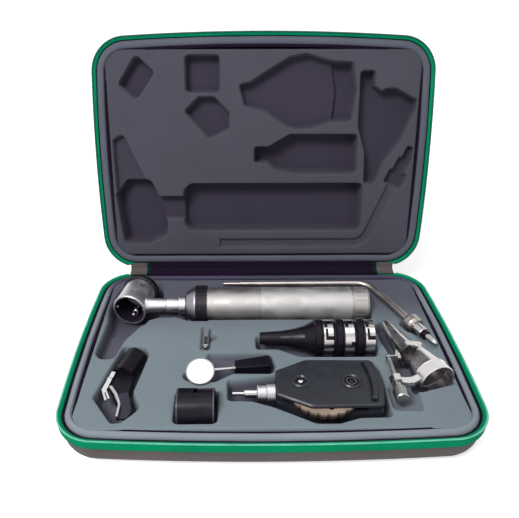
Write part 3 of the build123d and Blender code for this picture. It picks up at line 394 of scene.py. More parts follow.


# painted shade, multiplied into base colours: HINGE_SHADE darkens the base foam toward the hinge and ROLL_SHADE the
# lining roll toward the back, where less light reaches; DEEP_SHADE darkens the nasal speculum lower down, WHEEL_SHADE
# the lens wheel's lower edge and BLADE_SHADE the holder blade's plate below its rim
HINGE_SHADE = PaintedShade((0.0, 1.0, 0.0), 0.0, 0.062, (0.50, 0.42, 0.50))
ROLL_SHADE = PaintedShade((0.0, 1.0, 0.0), 0.055, 0.090, (0.26, 0.21, 0.33))
DEEP_SHADE = PaintedShade((0.0, 0.0, -1.0), -0.0350, -0.0200, (0.30, 0.28, 0.32))
WHEEL_SHADE = PaintedShade((0.0, 0.0, -1.0), -0.0342, -0.0312, (0.10, 0.08, 0.10))
BLADE_SHADE = PaintedShade((0.0, 0.0, -1.0), -0.0274, -0.0261, (0.10, 0.10, 0.13))
SHELL_CLOTH = Fabric("shell_cloth", (0.10, 0.086, 0.084), Weave.TWILL, 0.0007, 0.0001, 0.12, 0.05)
LINING_CLOTH = Fabric(
    "lining_cloth", (0.225, 0.255, 0.29), Weave.KNIT, sheen=0.15,
    hollow_shade=(0.012, 0.007, 0.02), sunk=0.0035, shade=ROLL_SHADE,
)
# painted shade: a darker copy of the base's lining cloth for the lid, whose face gets less light
SHADED_LID_LINING_CLOTH = Fabric(
    "shaded_lid_lining_cloth", (0.09, 0.096, 0.125), Weave.KNIT, sheen=0.1, hollow_shade=(0.01, 0.006, 0.018), sunk=0.0035
)
BASE_FOAM_CLOTH = Fabric(
    "base_foam_cloth", (0.178, 0.218, 0.245), Weave.KNIT, 0.0007, 0.00006, 0.06, 0.1,
    hollow_shade=(0.095, 0.094, 0.125), shade=HINGE_SHADE,
)
# painted shade: a darker copy of the base's foam cloth for the lid, whose face gets less light
SHADED_LID_FOAM_CLOTH = Fabric(
    "shaded_lid_foam_cloth", (0.060, 0.059, 0.079), Weave.KNIT, 0.0007, 0.00006, 0.06, 0.06, hollow_shade=(0.040, 0.033, 0.053)
)
ZIP_CLOTH = Fabric("zip_cloth", (0.0, 0.215, 0.098), Weave.TAPE, 0.0005, 0.00012, 0.12, gloss=0.06)
# painted shade: a darker copy of the zip tape's green for its ends where they cross the shadowed hinge
SHADED_CROSSING_CLOTH = Fabric("shaded_crossing_cloth", (0.002, 0.022, 0.017), Weave.TAPE, 0.0005, 0.00012, 0.2, gloss=0.08)
GUSSET_CLOTH = Fabric("gusset_cloth", (0.010, 0.005, 0.016), Weave.TWILL, 0.0007, 0.0001, 0.2, gloss=0.08)
COIL_NYLON = Plastic("coil_nylon", (0.12, 0.47, 0.33), 0.45, 0.35, 0.0008)
# painted shade: a darker copy of the coil nylon for the lid's zip, which gets less light
SHADED_COIL_NYLON = Plastic("shaded_coil_nylon", (0.012, 0.085, 0.062), 0.5, 0.2, 0.0008)
ZIP_METAL = Metal("zip_metal", (0.10, 0.30, 0.20), 0.35, Surface.SATIN)
CHROME = Metal("chrome_plate", (0.52, 0.51, 0.52), 0.14)
BRIGHT_CHROME = Metal("bright_chrome", (0.78, 0.77, 0.77), 0.1)
SATIN_CHROME = Metal("satin_chrome", (0.40, 0.39, 0.41), 0.34, Surface.TURNED)
PALE_CHROME = Metal("pale_chrome", (0.56, 0.55, 0.57), 0.38, Surface.SATIN)
SMOKED_CHROME = Metal("smoked_chrome", (0.29, 0.27, 0.305), 0.34, Surface.TURNED)
BLASTED_GRIP = Metal("blasted_grip", (0.40, 0.39, 0.385), 0.55, Surface.SATIN, 0.00005)
TURNED_BARREL = Metal("turned_barrel", (0.33, 0.315, 0.31), 0.46, Surface.TURNED)
SPECULUM_STEEL = Metal("speculum_steel", (0.74, 0.72, 0.71), 0.26, Surface.SATIN, 0.00001, DEEP_SHADE)
KNURLED_STEEL = Metal("knurled_steel", (0.38, 0.37, 0.375), 0.3, Surface.SATIN)
RING_STEEL = Metal("ring_steel", (0.46, 0.44, 0.44), 0.2)
BEZEL_STEEL = Metal("bezel_steel", (0.30, 0.30, 0.32), 0.3)
ARM_STEEL = Metal("arm_steel", (0.41, 0.37, 0.35), 0.34, Surface.SATIN)
BLADE_STEEL = Metal("blade_steel", (0.60, 0.60, 0.62), 0.3, Surface.SATIN, shade=BLADE_SHADE)
BLACK_PLASTIC = Plastic("black_plastic", (0.007, 0.005, 0.010), 0.3, 0.16)
# painted highlight: lighter, glossier plastic for the adaptor barrel's end ribs, standing in for the highlights on its
# edges
EDGE_HIGHLIGHT_PLASTIC = Plastic("edge_highlight_plastic", (0.045, 0.04, 0.055), 0.25, 0.6)
# painted shade: near-black for a sleeve inside the otoscope head's bore, standing in for the shade inside it
HEAD_SHADE_PAINT = Plastic("head_shade_paint", (0.012, 0.008, 0.018), 0.5, 0.12)
# painted shade: near-black for slots, vents and the sight window's well, standing in for the shade in them
SLOT_SHADE_PAINT = Plastic("slot_shade_paint", (0.006, 0.004, 0.009), 0.5, 0.1)
SCOPE_PLASTIC = Plastic("scope_plastic", (0.014, 0.016, 0.023), 0.36, 0.45)
RING_PLASTIC = Plastic("ring_plastic", (0.008, 0.006, 0.010), 0.45, 0.25)
IVORY_PLASTIC = Plastic("ivory_plastic", (0.30, 0.235, 0.175), 0.42, 0.3, shade=WHEEL_SHADE)
MIRROR_SILVER = Metal("mirror_silver", (0.88, 0.90, 0.91), 0.05)
LENS_GLASS = Glass("lens_glass", (0.95, 0.98, 0.98))
BULB_GLASS = Glass("bulb_glass", (0.42, 0.42, 0.45), 0.04, 0.55)
DARK_GLASS = Glass("dark_glass", (0.05, 0.06, 0.07), 0.03, 0.3)
CELL_JACKET = Plastic("cell_jacket", (0.10, 0.10, 0.12), 0.3)


class Wardrobe:
    """Makes each finish's material once and fits out pieces with it."""

    def __init__(self) -> None:
        """Start with no material made."""
        self.made: dict[str, bpy.types.Material] = {}

    def dress(self, piece: Piece, finish: Finish) -> None:
        """Put one finish all over a piece.

        Args:
            piece: The piece.
            finish: The finish, whose material is made the first time that it is asked for.
        """
        if finish.name not in self.made:
            self.made[finish.name] = finish.material()
        piece.data.materials.clear()
        piece.data.materials.append(self.made[finish.name])

    def fit(self, piece: Piece, finish: Finish, slot: str, body: str | None, *nodes: str) -> None:
        """Dress a new piece, hide the nodes that it replaces, hang it on its body and report it.

        Args:
            piece: The piece.
            finish: Its finish.
            slot: Its material slot in the record; not used.
            body: The body that it rides on, or None if it is bent between two.
            *nodes: The nodes that it replaces.
        """
        self.dress(piece, finish)
        if nodes:
            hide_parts(*nodes)
        if body:
            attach(piece, body)
        LOG.info("%s: %d faces", piece.name, len(piece.data.polygons))


# ------------------------------------------------------------------ mesh making
def new_piece(name: str, points: np.ndarray, faces: Faces, smooth: bool = True) -> Piece:
    """Make a mesh piece in the row frame.

    Args:
        name: Piece name.
        points: Vertices in metres.
        faces: Vertex numbers of each face.
        smooth: Whether it is shaded smooth.

    Returns:
        The linked object.
    """
    mesh = bpy.data.meshes.new(name)
    mesh.from_pydata([tuple(map(float, p)) for p in points], [], faces)
    work = bmesh.new()
    work.from_mesh(mesh)
    bmesh.ops.recalc_face_normals(work, faces=work.faces)
    work.to_mesh(mesh)
    work.free()
    mesh.polygons.foreach_set("use_smooth", [smooth] * len(mesh.polygons))
    piece = bpy.data.objects.new(name, mesh)
    bpy.context.scene.collection.objects.link(piece)
    return piece


def ring_faces(
    rows: int, columns: int, close_rows: bool, close_columns: bool, first: int = 0, capped: bool = False
) -> Faces:
    """Faces of a grid of points that may close on itself either way.

    Args:
        rows: Number of rows.
        columns: Points in each row.
        close_rows: Whether the last row joins the first.
        close_columns: Whether each row's last point joins its first.
        first: Number of the grid's first point.
        capped: Whether the first and the last row get a face of their own.

    Returns:
        Faces as vertex numbers.
    """
    faces = []
    for i in range(rows if close_rows else rows - 1):
        for j in range(columns if close_columns else columns - 1):
            a, b = i * columns, (i + 1) % rows * columns
            k = (j + 1) % columns
            faces.append((first + a + j, first + a + k, first + b + k, first + b + j))
    if capped:
        last = first + (rows - 1) * columns
        faces += [tuple(range(first, first + columns)), tuple(range(last, last + columns))]
    return faces


def spline(p: list[np.ndarray], t: float) -> np.ndarray:
    """A point on a smooth curve through four points, a share t of the way from the second to the third."""
    return 0.5 * (2 * p[1] + (p[2] - p[0]) * t + (2 * p[0] - 5 * p[1] + 4 * p[2] - p[3]) * t * t
                  + (3 * p[1] - p[0] - 3 * p[2] + p[3]) * t ** 3)


def rounded(points: Profile, per_span: int = 3) -> Profile:
    """A closed profile's points joined by a smooth closed curve.

    Args:
        points: Corners of the profile.
        per_span: Points made for each span.

    Returns:
        The finer profile.
    """
    made, count = [], len(points)
    for i in range(count):
        near = [np.array(points[(i + k - 1) % count]) for k in range(4)]
        made += [tuple(map(float, spline(near, step / per_span))) for step in range(per_span)]
    return made


# ------------------------------------------------------------------ the case's two halves
class Side(Enum):
    """Which half of the case a piece belongs to."""

    BASE = "base"
    LID = "lid"


@dataclass(frozen=True)
class HalfFrame:
    """Where a half sits: u to the right, v away from the front of the open case, n out of its mouth; in mm."""

    side: Side
    origin: Vector
    along: Vector
    outward: Vector

    @property
    def body(self) -> str:
        """The body that this half's pieces ride on."""
        return "case_base" if self.side is Side.BASE else "lid"

    @property
    def back(self) -> int:
        """Which way along v the hinge lies."""
        return 1 if self.side is Side.BASE else -1

    def axes(self) -> np.ndarray:
        """The frame's axes as rows."""
        return np.array([(1.0, 0.0, 0.0), tuple(self.along), tuple(self.outward)])

    def place(self, points: np.ndarray) -> np.ndarray:
        """Turn (u, v, n) points in mm into row points in metres."""
        return np.array(self.origin) + (np.asarray(points, float) * MM) @ self.axes()

    def local(self, points: np.ndarray) -> np.ndarray:
        """Turn row points in metres into (u, v, n) points in mm."""
        return (np.asarray(points, float) - np.array(self.origin)) @ self.axes().T / MM

    def mouth(self, n: float) -> tuple[Colour, float]:
        """The direction out of the mouth, and the distance in metres that a height in mm has along it."""
        return tuple(float(c) for c in self.outward), self.origin.dot(self.outward) + n * MM


def half_frames() -> tuple[HalfFrame, HalfFrame]:
    """Read both halves' frames from the lid's hinge.

    Returns:
        The base's frame and the lid's.
    """
    hinge = next(j for j in frame["joints"] if j["name"] == "lid_hinge")
    axis_y, axis_z = hinge["pos_m"][1], hinge["pos_m"][2]
    angle = math.radians(-hinge["range_deg"][0])
    up = Vector((0.0, -math.cos(angle), math.sin(angle)))
    out = Vector((0.0, -math.sin(angle), -math.cos(angle)))
    rim = Vector((0.0, axis_y, axis_z)) + up * axis_y
    base = HalfFrame(Side.BASE, Vector((0.0, 0.0, axis_z)), Vector((0.0, 1.0, 0.0)), Vector((0.0, 0.0, 1.0)))
    return base, HalfFrame(Side.LID, rim, up, out)


@dataclass(frozen=True)
class RimPath:
    """The shell's outline, bowed but for its straight back, as stations that any inset line shares; in mm."""

    end: float = 144.75
    front: float = 102.0
    rear: float = 99.5
    corner: float = 28.0
    front_bow: float = 1900.0
    end_bow: float = 1500.0
    side_steps: int = 30
    corner_steps: int = 24

    def corners(self) -> tuple[tuple[float, float], tuple[float, float]]:
        """Centres of the right-hand corners' arcs.

        Returns:
            The front corner's centre and the rear corner's centre.
        """
        pivot, top = self.end - self.end_bow, self.front_bow - self.front
        near, far = self.end_bow - self.corner, self.front_bow - self.corner
        apart = math.hypot(pivot, top)
        along = (far ** 2 - near ** 2 + apart ** 2) / (2 * apart)
        across = math.sqrt(far ** 2 - along ** 2)
        front_corner = ((pivot * along + top * across) / apart, top + (pivot * across - top * along) / apart)
        rear_v = self.rear - self.corner
        return front_corner, (pivot + math.sqrt(near ** 2 - rear_v ** 2), rear_v)

    def arcs(self) -> list[tuple[tuple[float, float], float, float, float]]:
        """The outline's arcs from the back's left end round to its right end.

        Returns:
            Each arc's centre, radius, start angle and end angle.
        """
        (front_u, front_v), (rear_u, rear_v) = self.corners()
        pivot, top = self.end - self.end_bow, self.front_bow - self.front
        rear_lean = math.degrees(math.atan2(rear_v, rear_u - pivot))
        front_lean = math.degrees(math.atan2(-front_v, front_u - pivot))
        bow_lean = math.degrees(math.atan2(front_u, top - front_v))
        return [
            ((-rear_u, rear_v), self.corner, 90.0, 180.0 - rear_lean),
            ((-pivot, 0.0), self.end_bow, 180.0 - rear_lean, 180.0 + front_lean),
            ((-front_u, front_v), self.corner, 180.0 + front_lean, 270.0 - bow_lean),
            ((0.0, top), self.front_bow, 270.0 - bow_lean, 270.0 + bow_lean),
            ((front_u, front_v), self.corner, 270.0 + bow_lean, 360.0 - front_lean),
            ((pivot, 0.0), self.end_bow, 360.0 - front_lean, 360.0 + rear_lean),
            ((rear_u, rear_v), self.corner, 360.0 + rear_lean, 450.0),
        ]

    def stations(self, back: int, gap: float | None = None) -> tuple[np.ndarray, np.ndarray]:
        """Points of the outline and its outward directions, which start and end in the middle of the back.

        Args:
            back: 1 if the hinge lies along +v, -1 if along -v.
            gap: Half of the width left open at the back, or None for a closed path.

        Returns:
            Station points and outward directions, in mm.
        """
        rear_u, rear_v = self.corners()[1]
        lead = np.linspace(0.0, -rear_u, self.side_steps // 2, endpoint=False)
        tail = np.linspace(rear_u, 0.0, self.side_steps // 2, endpoint=False)
        spots = [np.column_stack((lead, np.full(len(lead), self.rear)))]
        outs = [np.tile((0.0, 1.0), (len(lead), 1))]
        for centre, radius, start, stop in self.arcs():
            steps = self.corner_steps if radius == self.corner else self.side_steps
            angle = np.radians(np.linspace(start, stop, steps, endpoint=False))
            outs.append(np.column_stack((np.cos(angle), np.sin(angle))))
            spots.append(np.array(centre) + outs[-1] * radius)
        spots.append(np.column_stack((tail, np.full(len(tail), self.rear))))
        outs.append(np.tile((0.0, 1.0), (len(tail), 1)))
        spot, out = np.vstack(spots), np.vstack(outs)
        if gap is not None:
            kept = ~((np.abs(spot[:, 0]) <= gap) & (spot[:, 1] > rear_v))
            sweep = math.acos(max(0.0, gap - rear_u) / self.corner)
            edge = np.array((math.cos(sweep), math.sin(sweep)))
            rim = edge * self.corner + (min(gap, rear_u), rear_v)
            mirror = np.array((-1.0, 1.0))
            spot = np.vstack((rim * mirror, spot[kept], rim))
            out = np.vstack((edge * mirror, out[kept], edge))
        turn = np.array((1.0, float(back)))
        return spot * turn, out * turn


RIM = RimPath()


def swept(
    half: HalfFrame, profile: Profile, gap: float | None = None, ripple: float = 0.0, pucker: float = 0.0
) -> tuple[np.ndarray, Faces]:
    """Sweep a closed profile of (inset, n) points round the rim.

    Args:
        half: The half's frame.
        profile: Closed profile, in mm.
        gap: Half of the opening left at the back, or None for a closed sweep.
        ripple: Height in mm of a slow unevenness, as cloth has.
        pucker: Height in mm of the gathers in the corners.

    Returns:
        Points in metres and faces.
    """
    spots, outs = RIM.stations(half.back, gap)
    points = np.zeros((len(spots), len(profile), 3))
    run = np.concatenate(([0.0], np.cumsum(np.hypot(*np.diff(spots, axis=0).T))))
    bend = np.clip(np.abs(outs[:, 0] * outs[:, 1]) * 3 - 0.2, 0, 1)
    for j, (inset, n) in enumerate(profile):
        swell = ripple * (np.sin(run * 0.13 + 0.4 * j) * 0.5 + np.sin(run * 0.049 + 1.7 * j) * 0.5)
        swell = swell + pucker * bend * np.sin(run * 1.15) * (0.6 + 0.4 * np.sin(run * 0.41 + j))
        points[:, j, :2] = spots - outs * (inset - swell)[:, None]
        points[:, j, 2] = n + swell * 0.5
    faces = ring_faces(len(spots), len(profile), gap is None, True, capped=gap is not None)
    return half.place(points.reshape(-1, 3)), faces


@dataclass
class FoamInsert:
    """A foam insert faced with knit: its hollows are read from the insert's own solid, then softened; in mm."""

    half: HalfFrame
    length: float = 268.0
    width: float = 180.0
    corner: float = 14.0
    face: float = -1.5
    skirt: float = 19.0
    cell: float = 0.65
    lip: float = 1.35
    wall: float = 0.55
    edge: float = 1.9
    solid_edge: float = 3.27
    margin: float = 0.4
    beside: float = 0.9
    shallow: float = 0.9
    reach: float = 6.0
    own_edge: float = 0.18
    smooth_in: float = 1.2
    probe_from: float = 20.0

    def outer_distance(self, u: np.ndarray, v: np.ndarray) -> np.ndarray:
        """Distance from the insert's own outline, negative inside.

        Args:
            u: Places along u.
            v: Places along v.

        Returns:
            The distances in mm.
        """
        qx = np.abs(u) - self.length / 2 + self.corner
        qy = np.abs(v) - self.width / 2 + self.corner
        outside = np.hypot(np.maximum(qx, 0), np.maximum(qy, 0))
        return outside + np.minimum(np.maximum(qx, qy), 0) - self.corner

    def rims(self, points: np.ndarray, triangles: np.ndarray) -> tuple[np.ndarray, np.ndarray]:
        """Find the hollows' edges on the insert's face.

        Args:
            points: The solid's points in the half's frame.
            triangles: The solid's triangles.

        Returns:
            The edges' start and end points.
        """
        _, welded = np.unique(np.round(points * 200).astype(int), axis=0, return_inverse=True)
        welded = welded.reshape(-1)
        flat = np.all(np.abs(points[triangles][:, :, 2] - self.face) < 0.02, axis=1)
        used: dict[tuple[int, int], int] = {}
        ends: dict[tuple[int, int], tuple[int, int]] = {}
        for triangle in triangles[flat]:
            for a, b in ((0, 1), (1, 2), (2, 0)):
                i, j = int(triangle[a]), int(triangle[b])
                key = tuple(sorted((int(welded[i]), int(welded[j]))))
                used[key] = used.get(key, 0) + 1
                ends[key] = (i, j)
        single = [ends[k] for k, n in used.items() if n == 1]
        starts = points[[i for i, _ in single]][:, :2]
        stops = points[[j for _, j in single]][:, :2]
        middle = (starts + stops) / 2
        keep = np.abs(self.outer_distance(middle[:, 0], middle[:, 1]) + self.solid_edge) >= self.own_edge
        return starts[keep], stops[keep]

    def nearest(self, grid: np.ndarray, starts: np.ndarray, stops: np.ndarray) -> tuple[np.ndarray, np.ndarray]:
        """Find each grid point's nearest edge.

        Args:
            grid: The grid points.
            starts: The edges' start points.
            stops: The edges' end points.

        Returns:
            The distance to the nearest edge and that edge's number.
        """
        best = np.full(len(grid), 1e9)
        which = np.zeros(len(grid), int)
        for k, (start, stop) in enumerate(zip(starts, stops)):
            low, high = np.minimum(start, stop) - self.reach, np.maximum(start, stop) + self.reach
            near = np.flatnonzero(np.all((grid >= low) & (grid <= high), axis=1))
            if not len(near):
                continue
            run = stop - start
            t = np.clip((grid[near] - start) @ run / max(run @ run, 1e-9), 0, 1)
            gap = np.hypot(*(grid[near] - start - t[:, None] * run).T)
            closer = gap < best[near]
            best[near[closer]] = gap[closer]
            which[near[closer]] = k
        return best, which

    def heights(self, u: np.ndarray, v: np.ndarray) -> np.ndarray:
        """Height of the insert's softened face over a grid.

        Args:
            u: The grid's places along u.
            v: The grid's places along v.

        Returns:
            The heights in mm.
        """
        source = frame["nodes"][f"{self.half.side.value}_foam"].data
        source.calc_loop_triangles()
        points = self.half.local(np.array([p.co for p in source.vertices]))
        triangles = np.array([t.vertices for t in source.loop_triangles])
        tree = BVHTree.FromPolygons([tuple(p) for p in points], [tuple(map(int, t)) for t in triangles])

        def floor_at(x: float, y: float) -> float:
            """Height of the solid's surface at a place."""
            hit = tree.ray_cast(Vector((x, y, self.probe_from)), Vector((0.0, 0.0, -1.0)))[0]
            return self.face if hit is None else min(hit.z, self.face)

        grid = np.column_stack((u.ravel(), v.ravel()))
        outer = self.outer_distance(grid[:, 0], grid[:, 1])
        floor = np.array([floor_at(x, y) if o < -self.margin else self.face for (x, y), o in zip(grid, outer)])
        starts, stops = self.rims(points, triangles)
        gap, which = self.nearest(grid, starts, stops)
        run = stops - starts
        side = np.column_stack((-run[:, 1], run[:, 0])) / np.maximum(np.hypot(*run.T), 1e-9)[:, None] * self.beside
        middle = (starts + stops) / 2
        rim_floor = np.array([min(floor_at(*(m + s)), floor_at(*(m - s))) for m, s in zip(middle, side)])
        turned = np.clip(outer + self.solid_edge, 0, self.solid_edge)
        land = self.face - self.solid_edge + np.sqrt(self.solid_edge ** 2 - turned ** 2)
        hollow = (floor < land - self.shallow) & (outer < -0.5)
        t = np.clip((np.where(hollow, gap, -gap) + self.lip) / (self.lip + self.wall), 0, 1)
        ease = t * t * t * (t * (6 * t - 15) + 10)
        deep = np.where(hollow, floor, rim_floor[which])
        height = self.face + (np.minimum(deep, self.face) - self.face) * ease
        height = np.where(gap > 50, np.where(hollow, floor, self.face), height)
        rise = np.clip(outer + self.edge, 0, None)
        drop = self.edge - np.sqrt(np.maximum(self.edge ** 2 - np.minimum(rise, self.edge) ** 2, 0))
        height = np.minimum(height, self.face - drop)
        return np.where(outer > -0.05, self.face - self.skirt, height).reshape(u.shape)

    def build(self) -> Piece:
        """Make the insert as one closed piece.

        Returns:
            The piece.
        """
        reach_u, reach_v = self.length / 2 + self.margin, self.width / 2 + self.margin
        count_u, count_v = int(2 * reach_u / self.cell), int(2 * reach_v / self.cell)
        along_u, along_v = np.linspace(-reach_u, reach_u, count_u), np.linspace(-reach_v, reach_v, count_v)
        u, v = np.meshgrid(along_u, along_v, indexing="ij")
        height, outer = self.heights(u, v), self.outer_distance(u, v)
        soft = height.copy()
        around = soft[2:, 1:-1] + soft[:-2, 1:-1] + soft[1:-1, 2:] + soft[1:-1, :-2]
        soft[1:-1, 1:-1] = (soft[1:-1, 1:-1] * 4 + around) / 8
        height = np.where(outer < -self.smooth_in, soft, height)
        wave = 0.12 * np.sin(u * 0.045 + 0.8) * np.cos(v * 0.06) + 0.08 * np.sin(u * 0.11 + v * 0.07)
        height = np.where(outer < -0.05, height + np.minimum(wave, 0.1) - 0.1, height)
        core_u = np.clip(u, self.corner - self.length / 2, self.length / 2 - self.corner)
        core_v = np.clip(v, self.corner - self.width / 2, self.width / 2 - self.corner)
        pull = self.corner / np.maximum(np.hypot(u - core_u, v - core_v), self.corner)
        top = np.column_stack([a.ravel() for a in (core_u + (u - core_u) * pull, core_v + (v - core_v) * pull, height)])
        ring = [i * count_v for i in range(count_u)]
        ring += [(count_u - 1) * count_v + j for j in range(1, count_v)]
        ring += [i * count_v + count_v - 1 for i in range(count_u - 2, -1, -1)]
        ring += list(range(count_v - 2, 0, -1))
        faces = ring_faces(count_u, count_v, False, False) + [tuple(reversed(ring))]
        return new_piece(f"{self.half.side.value}_foam_insert", self.half.place(top), faces)


@dataclass
class CaseHalf:
    """One half of the case: moulded shell, lining roll, foam, zip tape, coil and stitching; in mm."""

    half: HalfFrame
    wardrobe: Wardrobe
    lining_cloth: Fabric
    foam_cloth: Fabric
    coil_nylon: Plastic
    seam_at: float
    roll_out: float = 1.9
    coil_n: float = -0.85
    tape_low: float = -10.0
    depth: float = 30.5
    wall: float = 3.5
    shell_top: float = 4.5
    draft: float = 5.0
    floor_radius: float = 17.0
    seam_width: float = 1.1
    seam_depth: float = 0.7
    seam_from: float = 85.0
    coil_gap: float = 123.5
    coil_out: float = 1.45
    tape_gap: float = 106.5
    tooth_pitch: float = 1.2
    stitch_pitch: float = 3.2
    stitch_out: float = 1.42

    @property
    def prefix(self) -> str:
        """Start of this half's piece names."""
        return self.half.side.value

    def fit(self, name: str, points: np.ndarray, faces: Faces, finish: Finish, slot: str, *nodes: str) -> None:
        """Make a piece of this half, named after its prefix, and fit it out."""
        piece = new_piece(f"{self.prefix}_{name}", points, faces)
        self.wardrobe.fit(piece, finish, slot, self.half.body, *nodes)

    def shell_profile(self, inset: float, low: float, radius: float) -> Profile:
        """One skin of the shell, from its edge down to where its floor is flat.

        Args:
            inset: Inset of the skin at the shell's edge.
            low: Height of its floor.
            radius: Radius between wall and floor.

        Returns:
            Profile points in mm.
        """
        lean = math.radians(self.draft)
        slope = math.tan(lean)
        start = inset + slope * (-self.shell_top - low - radius * (1 - math.sin(lean)))
        points = [(inset, -self.shell_top), (inset + slope * 5, -self.shell_top - 5)]
        for i in range(9):
            angle = math.radians(self.draft + (90 - self.draft) * i / 8)
            reach = radius * (math.cos(lean) - math.cos(angle))
            points.append((start + reach, low + radius - radius * math.sin(angle)))
        return points

    def build_shell(self) -> None:
        """Model the cloth-faced moulding with its rolled edge and flat floor."""
        outer = self.shell_profile(0.0, -self.depth, self.floor_radius)
        inner = self.shell_profile(self.wall, -self.depth + self.wall, self.floor_radius - self.wall)
        lip = [(self.wall * 0.8, -self.shell_top + 0.05), (self.wall * 0.2, -self.shell_top + 0.05)]
        profile = list(reversed(inner)) + lip + outer
        points, _ = swept(self.half, profile)
        columns = len(profile)
        faces = ring_faces(len(points) // columns, columns, True, False)
        faces += [tuple(range(edge, len(points), columns)) for edge in (0, columns - 1)]
        self.fit("shell_moulding", points, faces, SHELL_CLOTH, "shell_fabric", f"{self.prefix}_shell")

    def build_lining(self) -> None:
        """Model the padded roll round the rim, with the pucker of its one seam."""
        out = self.roll_out
        roll = rounded([
            (8.3, -13.0), (8.3, -7.0), (8.2, -2.6), (7.5, -0.9), (0.6 * out + 4.7, -0.35), (0.8 * out + 2.5, -0.6),
            (out + 0.7, -1.7), (out, -3.4), (out, -4.4), (0.6 * out + 2.5, -4.5), (4.7, -5.4), (4.8, -9.0),
            (5.2, -13.3), (7.2, -13.5),
        ], 4)
        points, faces = swept(self.half, roll, None, 0.14, 0.13)
        local = self.half.local(points)
        at_back = local[:, 1] * self.half.back > self.seam_from
        pinch = np.exp(-((local[:, 0] - self.seam_at) / self.seam_width) ** 2) * at_back
        local[:, 2] -= self.seam_depth * pinch
        piece = new_piece(f"{self.prefix}_lining_roll", self.half.place(local), faces)
        # painted shade: the roll's cloth takes its painted hollow shade below its top
        cloth = replace(self.lining_cloth, mouth=self.half.mouth(-1.3))
        self.wardrobe.fit(piece, cloth, "lining_fabric", self.half.body, f"{self.prefix}_lining")

    def build_groove_shades(self) -> None:
        """Model the dark strips of painted shade that close the grooves on both sides of the roll."""
        out = self.roll_out
        inner = rounded([(8.1, -13.0), (8.1, -3.4), (8.6, -2.7), (9.6, -2.5), (10.4, -2.9), (10.6, -13.0)])
        outer = rounded([(out + 0.4, -4.4), (out, -3.5), (1.9, -3.2), (1.1, -3.3), (0.9, -4.3), (2.0, -4.5)])
        for name, profile in (("inner_groove_shade", inner), ("outer_groove_shade", outer)):
            self.fit(name, *swept(self.half, profile, None, 0.08), GUSSET_CLOTH, "lining_fabric")

    def build_foam(self) -> None:
        """Model the foam insert."""
        insert = FoamInsert(self.half)
        piece = insert.build()
        # painted shade: the foam's cloth takes its painted hollow shade deeper in its hollows
        cloth = replace(self.foam_cloth, mouth=self.half.mouth(insert.face))
        self.wardrobe.fit(piece, cloth, "foam", self.half.body, f"{self.prefix}_foam")

    def build_tape(self) -> None:
        """Model the zip tape as a slightly crowned band with a folded edge."""
        low, top = self.tape_low, self.coil_n + 0.85
        band = rounded([
            (-0.1, low), (-0.15, -6.0), (-0.1, -2.9), (0.9, -2.5), (1.4, top - 2.1), (0.7, top - 1.55),
            (-0.5, top - 1.05), (-1.25, top - 1.3), (-1.75, top - 3.2), (-1.75, -6.5), (-1.35, low + 0.7),
            (-0.9, low - 0.1),
        ])
        sweep = swept(self.half, band, self.tape_gap, 0.06)
        self.fit("tape", *sweep, ZIP_CLOTH, "zip_tape", f"{self.prefix}_zip_tape")

    def studs(self, inset: float, pitch: float, gap: float, n: float, size: Colour) -> tuple[np.ndarray, Faces]:
        """Small rounded studs, evenly spaced along an inset line.

        Args:
            inset: Inset of the line in mm.
            pitch: Distance between studs in mm.
            gap: Half of the opening left at the back.
            n: Height of the studs' middles.
            size: Half sizes along the line, outward and out of the mouth.

        Returns:
            Points in metres and faces.
        """
        edge, outs = RIM.stations(self.half.back, gap)
        line = edge - outs * inset
        reach = np.concatenate(([0.0], np.cumsum(np.hypot(*np.diff(line, axis=0).T))))
        at = np.arange(pitch, reach[-1] - pitch, pitch)
        spots, out = (np.column_stack([np.interp(at, reach, a[:, k]) for k in (0, 1)]) for a in (line, outs))
        out /= np.hypot(*out.T)[:, None]
        run = np.column_stack((-out[:, 1], out[:, 0]))
        sides, points, faces = 8, [], []
        for k in range(len(spots)):
            faces += ring_faces(4, sides, False, True, len(points), True)
            for end, shrink in ((-1.0, 0.55), (-0.55, 1.0), (0.55, 1.0), (1.0, 0.55)):
                for angle in (2 * math.pi * s / sides for s in range(sides)):
                    flat = spots[k] + run[k] * end * size[0] + out[k] * math.cos(angle) * size[1] * shrink
                    points.append((flat[0], flat[1], n + math.sin(angle) * size[2] * shrink))
        return self.half.place(np.array(points)), faces

    def build_coil(self) -> None:
        """Model the zip's coil: a core with a row of separate turns."""
        ring = np.linspace(0, 2 * math.pi, 8, endpoint=False)
        core = [(0.5 * math.cos(a) - self.coil_out, self.coil_n + 0.45 * math.sin(a)) for a in ring]
        rail = swept(self.half, core, self.coil_gap)
        self.fit("coil_core", *rail, self.coil_nylon, "zip_coil", f"{self.prefix}_zip_coil")
        turns = self.studs(-self.coil_out, self.tooth_pitch, self.coil_gap, self.coil_n + 0.11, (0.38, 0.85, 0.52))
        self.fit("coil_turns", *turns, self.coil_nylon, "zip_coil")

    def build_stitches(self) -> None:
        """Model the row of stitches that holds the tape to the shell."""
        gap, n = self.tape_gap + 3, self.tape_low + 1.4
        row = self.studs(-self.stitch_out, self.stitch_pitch, gap, n, (1.15, 0.28, 0.28))
        self.fit("tape_stitches", *row, ZIP_CLOTH, "zip_tape")

